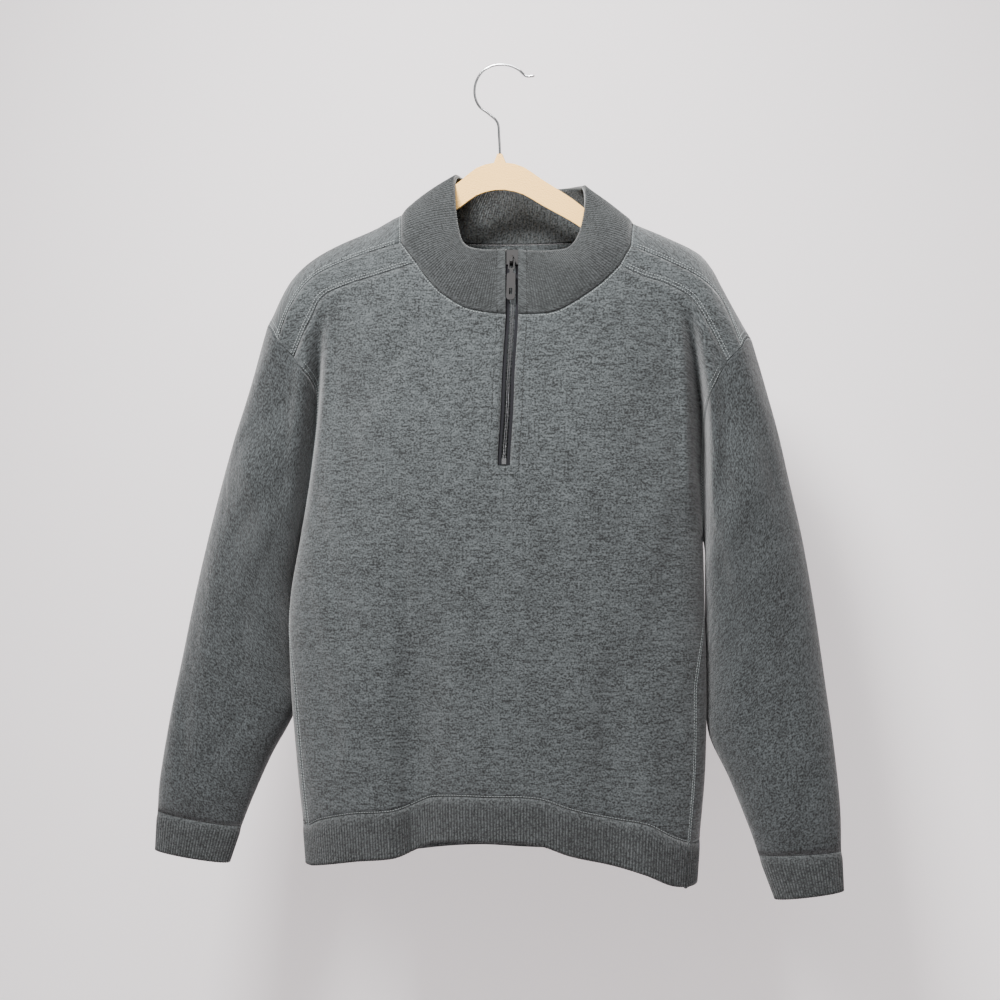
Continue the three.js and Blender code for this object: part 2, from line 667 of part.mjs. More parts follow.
// Turns of the loop's points: 0 at the highest point, pi at the underarm, less than 0 behind
function loopTurns(loop) {
  let peak = 0;
  loop.forEach((p, i) => {
    if (p.z > loop[peak].z) peak = i;
  });
  const turns = new Array(loop.length);
  const lengths = [0];
  for (let i = 1; i <= loop.length; i += 1) {
    lengths.push(lengths[i - 1] + loop[i % loop.length].distanceTo(loop[i - 1]));
  }
  for (let i = 0; i < loop.length; i += 1) {
    turns[i] =
      i <= peak
        ? -Math.PI * (1 - lengths[i] / lengths[peak])
        : (Math.PI * (lengths[i] - lengths[peak])) / (lengths[loop.length] - lengths[peak]);
  }
  return turns;
}

function sleeveGrid(table, loop) {
  const turns = loopTurns(loop);
  return evenFractions(CELLS.sleeve).map((f) => {
    const t = f ** 1.25;
    const row = sleeveRow(table, t);
    const first = sleeveRow(table, 0);
    const keep = 1 - smooth(t / 0.22);
    return loop.map((p, i) => {
      const shift = p.clone().sub(ringPoint(first, turns[i])).multiplyScalar(keep);
      return ringPoint(row, turns[i]).add(shift);
    });
  });
}

// Which of the four cells about a point are cloth: up left, up right, down left and down right
function cellsAbout(points, isRing, isOpen) {
  const rows = points.length;
  const cols = points[0].length;
  const has = (r, c) => {
    if (r < 0 || r >= rows - 1) return false;
    if (!isRing && (c < 0 || c >= cols - 1)) return false;
    return !isOpen(r, (c + cols) % cols);
  };
  return (r, c) => ({
    upLeft: has(r - 1, c - 1),
    upRight: has(r - 1, c),
    downLeft: has(r, c - 1),
    downRight: has(r, c),
  });
}

// A grid with the creases between the body and the sleeves pressed in
function creased(points) {
  const last = ARM_CREASE[ARM_CREASE.length - 1];
  for (const p of points.flat()) {
    if (p.y > 0 || p.z > ARM_CREASE[0].z || p.z < last.z) continue;
    const away = p.x - valueAt(ARM_CREASE, "z", p.x < 0 ? "left" : "right", p.z);
    const half = valueAt(ARM_CREASE, "z", "half", p.z);
    const deep = valueAt(ARM_CREASE, "z", p.x < 0 ? "deepLeft" : "deepRight", p.z);
    const bell = (shift) => Math.exp(-(((away - shift) / half) ** 2));
    const roll = ROLL_SHARE * (bell(-ROLL_OFF) + (p.x < 0 ? bell(ROLL_OFF) / 2 : bell(ROLL_OFF)));
    p.y += Math.max(0, deep) * (bell(0) - roll);
  }
  return points;
}

// Outward normals of a grid's points
function normalsOf(points, isRing, sense, isOpen = () => false) {
  const cols = points[0].length;
  const about = cellsAbout(points, isRing, isOpen);
  return points.map((row, r) =>
    row.map((p, c) => {
      const { upLeft, upRight, downLeft, downRight } = about(r, c);
      const before = upLeft || downLeft ? row[(c + cols - 1) % cols] : p;
      const after = upRight || downRight ? row[(c + 1) % cols] : p;
      const above = upLeft || upRight ? points[r - 1][c] : p;
      const below = downLeft || downRight ? points[r + 1][c] : p;
      const across = after.clone().sub(before);
      return across.cross(below.clone().sub(above)).multiplyScalar(sense).normalize();
    }),
  );
}

// Points that pieces share get one normal, half from the trunk's panels and half from the sleeve,
// so that the walls meet in a mitre
function shareNormals(pieces) {
  const keyOf = (p) => [p.x, p.y, p.z].map((v) => Math.round(v * 20)).join(" ");
  const sums = new Map();
  for (const piece of pieces) {
    piece.points.forEach((row, r) =>
      row.forEach((p, c) => {
        const key = keyOf(p);
        if (!sums.has(key)) sums.set(key, { panel: new THREE.Vector3(), sleeve: new THREE.Vector3() });
        sums.get(key)[piece.isRing ? "sleeve" : "panel"].add(piece.normals[r][c]);
      }),
    );
  }
  const sharedAt = (p) => {
    const { panel, sleeve } = sums.get(keyOf(p));
    return panel.clone().normalize().add(sleeve.clone().normalize()).normalize();
  };
  for (const piece of pieces) piece.normals = piece.points.map((row) => row.map(sharedAt));
}

// A closed wall about a grid of middle points. Options: normals, thick, isRing, isOpen(row, column),
// lift(row, column) added to the outer points, and firstInset, how far the first row stands back.
function wall(points, options) {
  const { normals, thick, isRing = false, firstInset = SEAM_INSET } = options;
  const { isOpen = () => false, lift = () => 0 } = options;
  const rows = points.length;
  const cols = points[0].length;
  const about = cellsAbout(points, isRing, isOpen);
  const moved = points.map((row, r) =>
    row.map((p, c) => {
      const { upLeft, upRight, downLeft, downRight } = about(r, c);
      if (!(upLeft || upRight || downLeft || downRight)) return p;
      const to = p.clone();
      const slide = (near, inset = SEAM_INSET) => {
        const way = near.clone().sub(p);
        way.addScaledVector(normals[r][c], -way.dot(normals[r][c]));
        if (way.length() > 1e-6) to.addScaledVector(way.normalize(), inset);
      };
      if (!upLeft && !upRight) slide(points[r + 1][c], firstInset);
      if (!downLeft && !downRight) slide(points[r - 1][c]);
      if (!upLeft && !downLeft) slide(row[(c + 1) % cols]);
      if (!upRight && !downRight) slide(row[(c + cols - 1) % cols]);
      return to;
    }),
  );
  const positions = [];
  for (const sense of [1, -1]) {
    moved.forEach((row, r) =>
      row.forEach((p, c) => {
        const off = sense > 0 ? thick / 2 + lift(r, c) : -thick / 2;
        const q = p.clone().addScaledVector(normals[r][c], off);
        positions.push(q.x, q.y, q.z);
      }),
    );
  }
  const under = rows * cols;
  const at = (r, c) => r * cols + (c % cols);
  const cellCols = isRing ? cols : cols - 1;
  const faces = [];
  const quad = (a, b, c, d) => faces.push(a, b, c, a, c, d);
  for (let r = 0; r < rows - 1; r += 1) {
    for (let c = 0; c < cellCols; c += 1) {
      if (!about(r, c).downRight) continue;
      const [a, b, d, e] = [at(r, c), at(r, c + 1), at(r + 1, c + 1), at(r + 1, c)];
      quad(a, b, d, e);
      quad(under + e, under + d, under + b, under + a);
      if (!about(r, c).upRight) quad(b, a, under + a, under + b);
      if (!about(r + 1, c).downRight) quad(e, d, under + d, under + e);
      if (!about(r, c).downLeft) quad(a, e, under + e, under + a);
      if (!about(r, c + 1).downRight) quad(d, b, under + b, under + d);
    }
  }
  const mesh = new THREE.BufferGeometry();
  mesh.setAttribute("position", new THREE.Float32BufferAttribute(positions, 3));
  mesh.setIndex(faces);
  return facingOut(mesh);
}

// The same geometry with its faces turned where its volume comes out below 0, and unused points dropped
function facingOut(geometry) {
  const place = geometry.getAttribute("position");
  const index = geometry.getIndex().array;
  const [a, b, c] = [new THREE.Vector3(), new THREE.Vector3(), new THREE.Vector3()];
  let volume = 0;
  for (let i = 0; i < index.length; i += 3) {
    a.fromBufferAttribute(place, index[i]);
    b.fromBufferAttribute(place, index[i + 1]);
    c.fromBufferAttribute(place, index[i + 2]);
    volume += a.dot(b.cross(c));
  }
  if (volume < 0) {
    for (let i = 0; i < index.length; i += 3) [index[i + 1], index[i + 2]] = [index[i + 2], index[i + 1]];
  }
  const plain = geometry.toNonIndexed();
  plain.computeVertexNormals();
  return plain;
}

// A line through seam points and their normals, read at a fraction of its length
function seamLine(points, normals, isClosed) {
  const count = points.length;
  const lengths = [0];
  const steps = isClosed ? count : count - 1;
  for (let i = 1; i <= steps; i += 1) {
    lengths.push(lengths[i - 1] + points[i % count].distanceTo(points[i - 1]));
  }
  return (fraction) => {
    const want = clamp01(fraction) * lengths[steps];
    let i = 1;
    while (i < steps && lengths[i] < want) i += 1;
    const t = clamp01((want - lengths[i - 1]) / (lengths[i] - lengths[i - 1]));
    const point = points[i - 1].clone().lerp(points[i % count], t);
    const normal = normals[i - 1].clone().lerp(normals[i % count], t).normalize();
    return { point, normal };
  };
}

// A ribbed band that hangs from a seam line: footOf gives its last row, bow its swell between
function bandWall(line, footOf, { ribs, rowsDown, bow, thick, isRing, sense, isPlain, firstInset }) {
  const cols = ribs * 2 + (isRing ? 0 : 1);
  const steps = isRing ? cols : cols - 1;
  const starts = Array.from({ length: cols }, (_, c) => line(c / steps));
  const points = evenFractions(rowsDown).map((v) =>
    starts.map((s, c) => s.point.clone().lerp(footOf(c / steps, s), v)),
  );
  const flat = normalsOf(points, isRing, sense);
  points.forEach((row, r) => {
    const share = Math.sin((Math.PI * r) / rowsDown);
    row.forEach((p, c) => p.addScaledVector(flat[r][c], bow(c / steps) * share));
  });
  const normals = normalsOf(points, isRing, sense);
  normals[0] = starts.map((s) => s.normal);
  const lift = (r, c) => (c % 2 === 1 && !isPlain(c / steps) ? RIB_HEIGHT : 0);
  return wall(points, { normals, thick, isRing, lift, firstInset });
}

// Fabric pieces
const front = frontGrid();
const back = backGrid();
const leftStrip = { points: stripGrid(-1) };
const rightStrip = { points: stripGrid(1) };
const leftLoop = armholeLoop(-1, front.points, leftStrip.points, back.points);
const rightLoop = armholeLoop(1, front.points, rightStrip.points, back.points);
const leftSleeve = { points: sleeveGrid(LEFT_SLEEVE, leftLoop), isRing: true };
const rightSleeve = { points: sleeveGrid(RIGHT_SLEEVE, rightLoop), isRing: true };
for (const piece of [front, back, leftStrip, rightStrip, leftSleeve, rightSleeve]) {
  creased(piece.points);
}

const senses = new Map([
  [front, -1],
  [back, 1],
  [leftStrip, -1],
  [rightStrip, 1],
  [leftSleeve, -1],
  [rightSleeve, 1],
]);
const panels = [...senses.keys()];
for (const piece of panels) {
  piece.normals = normalsOf(piece.points, piece.isRing, senses.get(piece), piece.isOpen);
}
shareNormals(panels);
for (const piece of panels) {
  const { normals, isRing, isOpen } = piece;
  const firstInset = isRing ? BENT_SEAM_INSET : SEAM_INSET;
  piece.geometry = wall(piece.points, { normals, thick: CLOTH_THICK, isRing, isOpen, firstInset });
}

// The hem band and the cuffs are straight ribbed rings
const BAND = {
  rowsDown: 1,
  bow: () => 0,
  thick: RIB_THICK,
  isRing: true,
  isPlain: () => false,
  firstInset: 0.5,
};

// The hem band, round the foot of the front and the back
function hemGeometry() {
  const frontFoot = front.points.length - 1;
  const backFoot = back.points.length - 1;
  const points = [...front.points[frontFoot], ...reversed(back.points[backFoot]).slice(1, -1)];
  const normals = [...front.normals[frontFoot], ...reversed(back.normals[backFoot]).slice(1, -1)];
  const line = seamLine(points, normals, true);
  const footOf = (_, start) => {
    const { x, y, z } = start.point;
    const behind = smooth((y + 30) / 40);
    const drop = (table) => valueAt(table, "x", "seam", x) - valueAt(table, "x", "foot", x);
    return new THREE.Vector3(x * 0.985, y * 0.93, z - mix(drop(HEM_FRONT), drop(HEM_BACK), behind));
  };
  return bandWall(line, footOf, { ...BAND, ribs: RIBS.hem, sense: -1 });
}

function cuffGeometry(sleeve, foot, sense) {
  const last = sleeve.points.length - 1;
  const line = seamLine(sleeve.points[last], sleeve.normals[last], true);
  const feet = loopTurns(sleeve.points[0]).map((turn) => ringPoint(foot, turn));
  const footLine = seamLine(feet, sleeve.normals[last], true);
  const footOf = (share) => footLine(share).point;
  return bandWall(line, footOf, { ...BAND, ribs: RIBS.cuff, sense });
}

// The collar, from the neck seam up, open at the zip
function collarGeometry() {
  const topRow = front.points[0];
  const topNormals = front.normals[0];
  const count = topRow.length;
  const rightNeck = { from: HALF_CELLS + 2, to: HALF_CELLS + 2 + CELLS.neck };
  const leftNeck = { from: count - 1 - rightNeck.to, to: count - 1 - rightNeck.from };
  const endOf = (grid) => grid.map((row) => row[row.length - 1]);
  const backNeck = [CELLS.seam, CELLS.seam + CELLS.backNeck];
  const gather = (frontRow, rightEnd, behind, leftEnd) => [
    ...frontRow.slice(rightNeck.from, rightNeck.to + 1),
    ...reversed(rightEnd).slice(1),
    ...behind.slice(1, CELLS.yoke).map((row) => row[backNeck[1]]),
    ...reversed(behind[CELLS.yoke].slice(backNeck[0], backNeck[1] + 1)),
    ...reversed(behind.slice(0, CELLS.yoke)).map((row) => row[backNeck[0]]),
    ...leftEnd.slice(1),
    ...frontRow.slice(leftNeck.from, leftNeck.to + 1).slice(1),
  ];
  const points = gather(topRow, endOf(rightStrip.points), back.points, endOf(leftStrip.points));
  const normals = gather(topNormals, endOf(rightStrip.normals), back.normals, endOf(leftStrip.normals));
  const line = seamLine(points, normals, false);
  const footOf = (share) =>
    new THREE.Vector3(
      valueAt(COLLAR_TOP, "t", "x", share),
      valueAt(COLLAR_TOP, "t", "y", share),
      valueAt(COLLAR_TOP, "t", "z", share),
    );
  const fromZip = (share) => Math.min(share, 1 - share);
  return bandWall(line, footOf, {
    ribs: RIBS.collar,
    rowsDown: 3,
    bow: (share) => COLLAR_BULGE * smooth(fromZip(share) / COLLAR_FLAT_SHARE),
    thick: COLLAR_THICK,
    isRing: false,
    sense: 1,
    isPlain: (share) => fromZip(share) < COLLAR_PLAIN_SHARE,
    firstInset: COLLAR_INSET,
  });
}

// A group of named meshes
const sweater = new THREE.Group();
const finish = (color, roughness, metalness = 0) =>
  new THREE.MeshStandardMaterial({ color, roughness, metalness });
const knit = finish(0x65686a, 0.95);
const ribKnit = finish(0x55585a, 0.95);

function addPiece(name, geometry, material) {
  const mesh = new THREE.Mesh(geometry, material);
  mesh.name = name;
  sweater.add(mesh);
  return mesh;
}

// The zip: its path is on the front panel up to the neck seam, and straight on up the collar
const COLLAR_FRONT = COLLAR_TOP[0];
const NECK_FRONT_Y = trunkY(zipX(NECK_FRONT_Z), NECK_FRONT_Z, -1);

function zipY(x, z) {
  if (z < NECK_FRONT_Z) return trunkY(x, z, -1);
  return mix(NECK_FRONT_Y, COLLAR_FRONT.y, (z - NECK_FRONT_Z) / (COLLAR_FRONT.z - NECK_FRONT_Z));
}

// How far behind the cloth's middle layer the zip's tape lies
function tapeDepth(z) {
  const behindCollar = COLLAR_THICK / 2 + TAPE_GAP + TAPE_THICK / 2;
  const behindPanel = CLOTH_THICK / 2 + TAPE_GAP + TAPE_THICK / 2;
  return mix(behindPanel, behindCollar, smooth((z - NECK_FRONT_Z + 26) / 18));
}

// A strip that follows the zip between two distances from its middle
function zipStrip(fromA, toA, topZ, footZ, cellsAcross, cellsDown, thick) {
  const points = evenFractions(cellsDown).map((v) => {
    const z = mix(topZ, footZ, v);
    return evenFractions(cellsAcross).map((u) => {
      const x = zipX(z) + mix(fromA, toA, u);
      return new THREE.Vector3(x, zipY(x, z) + tapeDepth(z), z);
    });
  });
  return wall(points, { normals: normalsOf(points, false, -1), thick });
}

// The slider and its tab lie along the collar's front, so their group leans as it does
const zipGroup = new THREE.Group();
const SLIDER_Z = -217.5;
const lean = Math.atan2(COLLAR_FRONT.y - NECK_FRONT_Y, COLLAR_FRONT.z - NECK_FRONT_Z);
zipGroup.position.set(zipX(SLIDER_Z), zipY(zipX(SLIDER_Z), SLIDER_Z), SLIDER_Z);
zipGroup.rotation.x = -lean;
sweater.add(zipGroup);

// Three directions that an extrusion's own x, y and z are laid along
const OUT_UP = new THREE.Matrix4().makeBasis(
  new THREE.Vector3(0, -1, 0),
  new THREE.Vector3(0, 0, 1),
  new THREE.Vector3(-1, 0, 0),
);
const RIGHT_UP = new THREE.Matrix4().makeBasis(
  new THREE.Vector3(1, 0, 0),
  new THREE.Vector3(0, 0, 1),
  new THREE.Vector3(0, -1, 0),
);

function shapeOf(corners, holes = []) {
  const shape = new THREE.Shape(corners.map(([u, v]) => new THREE.Vector2(u, v)));
  for (const hole of holes) shape.holes.push(new THREE.Path(hole.map(([u, v]) => new THREE.Vector2(u, v))));
  return shape;
}

const plate = (shape, depth) => new THREE.ExtrudeGeometry(shape, { depth, bevelEnabled: false });

function toSolid(geometry) {
  const bare = geometry.index ? geometry.toNonIndexed() : geometry.clone();
  bare.deleteAttribute("normal");
  bare.deleteAttribute("uv");
  const merged = mergeVertices(bare, 1e-3);
  const vertProperties = merged.getAttribute("position").array;
  const triVerts = new Uint32Array(merged.index.array);
  return new wasm.Manifold(new wasm.Mesh({ numProp: 3, vertProperties, triVerts }));
}

function toGeometry(solid) {
  const { numProp, numVert, vertProperties, triVerts } = solid.getMesh();
  const place = new Float32Array(numVert * 3);
  for (let i = 0; i < numVert; i += 1) {
    place.set(vertProperties.subarray(i * numProp, i * numProp + 3), i * 3);
  }
  const geometry = new THREE.BufferGeometry();
  geometry.setAttribute("position", new THREE.BufferAttribute(place, 3));
  geometry.setIndex(new THREE.BufferAttribute(triVerts, 1));
  const plain = geometry.toNonIndexed();
  plain.computeVertexNormals();
  return plain;
}

// Two plates joined by a web between the tapes, and the bridge that holds the tab
function sliderGeometry() {
  const { frontHalf, backHalf, webHalf, faces, long } = SLIDER;
  const section = shapeOf([
    [-frontHalf, faces[0]],
    [frontHalf, faces[0]],
    [frontHalf, faces[1]],
    [webHalf, faces[1]],
    [webHalf, faces[2]],
    [backHalf, faces[2]],
    [backHalf, faces[3]],
    [-backHalf, faces[3]],
    [-backHalf, faces[2]],
    [-webHalf, faces[2]],
    [-webHalf, faces[1]],
    [-frontHalf, faces[1]],
  ]);
  const body = plate(section, long).translate(0, 0, -long / 2);
  const { foot, top, out, wide, thick } = BRIDGE;
  const root = -faces[0] - 0.4;
  const hoop = shapeOf(
    [
      [root, foot],
      [out - 1.4, foot],
      [out, foot + 1.4],
      [out, top - 1.4],
      [out - 1.4, top],
      [root, top],
    ],
    [
      [
        [0.3, foot + thick],
        [0.3, top - thick],
        [out - thick, top - thick],
        [out - thick, foot + thick],
      ],
    ],
  );
  const bridge = plate(hoop, wide).translate(0, 0, -wide / 2).applyMatrix4(OUT_UP);
  return toGeometry(toSolid(body).add(toSolid(bridge)));
}

// The tab: a ring on the bridge, a neck, and a plate with a slot
function tabGeometry() {
  const { barZ, out, thick, ringHalf, ringWall, ringLong, neckHalf, neckFoot, half, foot, slot } = TAB;
  const top = barZ + ringWall / 2;
  const right = [
    [ringHalf - 1, top],
    [ringHalf, top - 1],
    [ringHalf, top - ringLong + 1.5],
    [neckHalf, top - ringLong],
    [neckHalf, neckFoot],
    [half - 0.8, neckFoot - 0.4],
    [half, neckFoot - 1.6],
    [half, foot + 3],
    [half - 1, foot + 1],
    [half - 3, foot],
  ];
  const left = reversed(right).map(([u, v]) => [-u, v]);
  const inner = ringHalf - ringWall;
  const ringHole = [
    [-inner, top - ringWall],
    [inner, top - ringWall],
    [inner, top - ringLong + 2.2],
    [-inner, top - ringLong + 2.2],
  ];
  const slotHole = [
    [-slot.half, slot.top],
    [slot.half, slot.top],
    [slot.half, slot.foot],
    [-slot.half, slot.foot],
  ];
  let solid = toSolid(plate(shapeOf([...right, ...left]), thick));
  for (const hole of [ringHole, slotHole]) {
    solid = solid.subtract(toSolid(plate(shapeOf(hole), thick + 2).translate(0, 0, -1)));
  }
  return toGeometry(solid).applyMatrix4(RIGHT_UP).translate(0, -(out - thick / 2), 0);
}

// The hanger: a flat shaped arm piece with a round boss, and its wire hook
function hangerGeometry() {
  const edge = drawn(HANGER_EDGE.map((r) => [r.x, r.top]), 3);
  const under = reversed(edge).map(([x, z]) => [x, z - valueAt(HANGER_EDGE, "x", "deep", x)]);
  const half = HANGER_BOSS.wide / 2;
  const upper = [
    ...edge.filter(([x]) => x < -half - 1),
    [-half, HANGER_BOSS.foot],
    [-HANGER_BOSS.topHalf, HANGER_BOSS.top],
    [HANGER_BOSS.topHalf, HANGER_BOSS.top],
    [half, HANGER_BOSS.foot],
    ...edge.filter(([x]) => x > half + 1),
  ];
  const shape = shapeOf([...upper, ...under]);
  return plate(shape, HANGER_THICK).translate(0, 0, -HANGER_THICK / 2).applyMatrix4(RIGHT_UP);
}

function hookGeometry() {
  const path = new THREE.CatmullRomCurve3(HOOK_PATH.map((p) => new THREE.Vector3(p.x, 0, p.z)));
  const ring = evenFractions(8).slice(0, 8).map((f) => {
    const turn = 2 * Math.PI * f;
    return [HOOK_RADIUS * Math.cos(turn), HOOK_RADIUS * Math.sin(turn)];
  });
  return new THREE.ExtrudeGeometry(shapeOf(ring), { steps: 44, extrudePath: path, bevelEnabled: false });
}

addPiece("front_body", front.geometry, knit);
addPiece("back_body", back.geometry, knit);
addPiece("left_shoulder_strip", leftStrip.geometry, knit);
addPiece("right_shoulder_strip", rightStrip.geometry, knit);
addPiece("left_sleeve", leftSleeve.geometry, knit);
addPiece("right_sleeve", rightSleeve.geometry, knit);
addPiece("hem_rib", hemGeometry(), ribKnit);
addPiece("left_cuff", cuffGeometry(leftSleeve, CUFF_FEET.left, -1), ribKnit);
addPiece("right_cuff", cuffGeometry(rightSleeve, CUFF_FEET.right, 1), ribKnit);
addPiece("collar", collarGeometry(), ribKnit);

const tape = finish(0x17181a, 0.9);
const darkMetal = finish(0x4a4d52, 0.35, 1);
const brightMetal = finish(0xc9ccd0, 0.25, 1);
for (const side of [-1, 1]) {
  const [near, far] = side < 0 ? [-TAPE_HALF, -TAPE_NEAR] : [TAPE_NEAR, TAPE_HALF];
  const strip = zipStrip(near, far, TAPE_TOP_Z, TAPE_FOOT_Z, 2, 18, TAPE_THICK);
  addPiece(side < 0 ? "zip_tape_left" : "zip_tape_right", strip, tape);
}
const teeth = zipStrip(-TEETH_HALF, TEETH_HALF, TEETH_TOP_Z, ZIP_BOTTOM_Z + 8, 1, 18, TEETH_THICK);
addPiece("zip_teeth", teeth, darkMetal);
const stop = zipStrip(-TEETH_HALF, TEETH_HALF, ZIP_BOTTOM_Z + 7.6, ZIP_BOTTOM_Z + 1.2, 1, 1, STOP_THICK);
addPiece("zip_bottom_stop", stop, brightMetal);

function addZipPiece(name, geometry, material) {
  const mesh = new THREE.Mesh(geometry, material);
  mesh.name = name;
  zipGroup.add(mesh);
}
addZipPiece("zip_slider", sliderGeometry(), darkMetal);
addZipPiece("zip_pull_tab", tabGeometry(), darkMetal);

addPiece("hanger_body", hangerGeometry(), finish(0xeed8bc, 0.9));
addPiece("hanger_hook", hookGeometry(), finish(0xc4c7ca, 0.2, 1));

export default sweater;
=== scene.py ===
"""Quarter zip sweater on a clothes hanger: the visual model, dressed and lit like its photograph.

Lengths are millimetres in the tables and metres in Blender. +X is to the viewer's right, +Y away,
+Z up, and the origin is the inside top of the hanger's hook.
"""

from __future__ import annotations

import logging
import math
from dataclasses import dataclass
from enum import Enum
from typing import Callable, Sequence

import bmesh
import bpy
import numpy as np
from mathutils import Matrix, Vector

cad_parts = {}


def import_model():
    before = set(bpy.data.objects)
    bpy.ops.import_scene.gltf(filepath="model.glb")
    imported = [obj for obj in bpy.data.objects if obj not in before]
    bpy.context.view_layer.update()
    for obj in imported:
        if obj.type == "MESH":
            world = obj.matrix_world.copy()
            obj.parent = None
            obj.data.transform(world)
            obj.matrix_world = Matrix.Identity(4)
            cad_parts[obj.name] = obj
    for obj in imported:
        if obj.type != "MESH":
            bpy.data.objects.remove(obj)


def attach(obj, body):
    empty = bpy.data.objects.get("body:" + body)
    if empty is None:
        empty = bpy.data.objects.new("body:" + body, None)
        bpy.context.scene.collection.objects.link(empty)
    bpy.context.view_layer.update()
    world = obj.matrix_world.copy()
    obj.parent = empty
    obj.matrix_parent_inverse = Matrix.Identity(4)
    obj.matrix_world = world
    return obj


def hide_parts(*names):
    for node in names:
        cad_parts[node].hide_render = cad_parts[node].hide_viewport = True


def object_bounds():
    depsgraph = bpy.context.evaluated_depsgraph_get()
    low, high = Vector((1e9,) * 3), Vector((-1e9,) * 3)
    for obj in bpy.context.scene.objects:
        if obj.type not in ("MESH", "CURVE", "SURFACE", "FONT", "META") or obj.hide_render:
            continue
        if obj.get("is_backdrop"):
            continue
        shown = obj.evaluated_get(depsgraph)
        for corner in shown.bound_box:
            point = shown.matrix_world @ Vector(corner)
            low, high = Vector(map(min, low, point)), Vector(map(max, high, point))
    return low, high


Array = np.ndarray
Socket = bpy.types.NodeSocket
FootOf = Callable[[Array, Array], Array]
log = logging.getLogger("sweater")

MM = 0.001
CLOTH_THICK = 2.0
RIB_THICK = 2.4
COLLAR_THICK = 4.0
SEAM_INSET = 0.15
BENT_SEAM_INSET = 0.6
SHOULDER_ARCH = 130.0
FLANK_ARCH = 60.0
UNFOLD_RADIUS = 95.0
ROUND_POWER = 2.5
SEAM_WRAP_DEG = 20.0
UNDERARM_Z = -518.0
ZIP_OPEN_HALF = 6.65
ZIP_BOTTOM_Z = -441.0
NECK_FRONT_Z = -280.0
NOTCH_SHARE = 0.31
ROLL_OFF = 13.0
ROLL_SHARE = 0.42
COLLAR_BULGE = 5.0
COLLAR_FLAT_SHARE = 0.12
COLLAR_PLAIN_SHARE = 0.018
RIB_PITCH = 3.3
BLEND_POWER = 6
WRAP_TOP_Z = -560.0
WRAP_RUN = 130.0
OVAL_POWER = 0.85
LEFT_ROLL_SHARE = 0.5
SAME_PLACE_PER_MM = 20
EDGE_ROWS_SHARE = 0.12
EDGE_COLUMNS_SHARE = 0.1

# Cells of each stretch of a panel, counted as on the plain solids and split FINE times each way
FINE = 5
SEAM = 8 * FINE
NECK = 4 * FINE
BACK_NECK = 16 * FINE
ARMHOLE = 8 * FINE
SIDE = 10 * FINE
STRIP = 2 * FINE
YOKE = 3 * FINE
BACK_ARMHOLE = 9 * FINE
SLEEVE = 13 * FINE


@dataclass(frozen=True)
class Table:
    """Rows of numbers with named columns, read on a smooth curve through the rows."""

    names: tuple[str, ...]
    rows: tuple[tuple[float, ...], ...]

    def column(self, name: str) -> Array:
        """One column as an array."""
        return np.array([row[self.names.index(name)] for row in self.rows], float)

    def at(self, key: str, name: str, value: float | Array) -> Array:
        """Read a column at values of the key column.

        Args:
            key: the column that the values belong to, which only rises or only falls.
            name: the column to read.
            value: where to read it.

        Returns:
            The column's values there, held at the ends of the table.
        """
        keys, known = self.column(key), self.column(name)
        if keys[-1] < keys[0]:
            keys, known = keys[::-1], known[::-1]
        at = np.clip(np.asarray(value, float), keys[0], keys[-1])
        low = np.clip(np.searchsorted(keys, at, side="left") - 1, 0, len(keys) - 2)
        before = np.maximum(np.arange(len(keys)) - 1, 0)
        after = np.minimum(np.arange(len(keys)) + 1, len(keys) - 1)
        slope = (known[after] - known[before]) / (keys[after] - keys[before])
        span = keys[low + 1] - keys[low]
        t = (at - keys[low]) / span
        rise = 3 * t**2 - 2 * t**3
        ends = known[low] * (1 - rise) + known[low + 1] * rise
        return ends + span * (slope[low] * (t**3 - 2 * t**2 + t) + slope[low + 1] * (t**3 - t**2))

    def points(self) -> Array:
        """The x and z columns as rows of pairs."""
        return np.stack([self.column("x"), self.column("z")], axis=1)


SHOULDER_LINE = Table(
    ("x", "z"),
    (
        (-264, -296), (-258, -283), (-249, -266), (-241, -249), (-230, -231), (-211, -213),
        (-183, -197), (-137, -178), (-110, -164), (-60, -150), (20, -146), (95, -156), (147, -178),
        (184, -194), (218, -212), (232, -229), (241, -246), (250, -263), (261, -283), (274, -306),
    ),
)

TRUNK = Table(
    ("z", "left", "right", "front", "back", "flankFront", "flankBack"),
    (
        (-140, -230, 250, 62, 56, 44, 44),
        (-230, -216, 232, 66, 62, 46, 46),
        (-270, -201, 216, 70, 66, 46, 45),
        (-332, -199, 213, 77, 70, 38, 38),
        (-389, -204, 214, 83, 72, 26, 27),
        (-433, -209, 216, 85, 72, 19, 20),
        (-477, -215, 220, 85, 72, 10, 10),
        (-518, -221, 221, 84, 71, 0, 0),
        (-588, -233, 223, 81, 69, 0, 0),
        (-671, -233, 225, 78, 68, 0, 0),
        (-765, -226, 224, 75, 67, 0, 0),
        (-840, -218, 218, 72, 65, 0, 0),
        (-895, -210, 213, 67, 60, 0, 0),
    ),
)

ARM_CREASE = Table(
    ("z", "left", "right", "half", "deepLeft", "deepRight"),
    (
        (-272, -190, 207, 7, 0, 0),
        (-300, -194, 212, 7, 7, 12),
        (-340, -199, 217, 8, 17, 24),
        (-390, -205, 221, 8, 19, 28),
        (-433, -210, 222, 8, 14, 24),
        (-477, -216, 222, 7, 6, 9),
        (-510, -221, 221, 6, 0, 0),
    ),
)

HEM_FRONT = Table(
    ("x", "seam", "foot"),
    (
        (-206, -834, -879), (-190, -826, -876), (-151, -817, -869), (-111, -813, -864),
        (-90, -807, -857), (-63, -796, -846), (4, -794, -843), (52, -795, -845), (85, -806, -856),
        (130, -817, -867), (166, -823, -877), (192, -837, -889), (211, -846, -893),
    ),
)

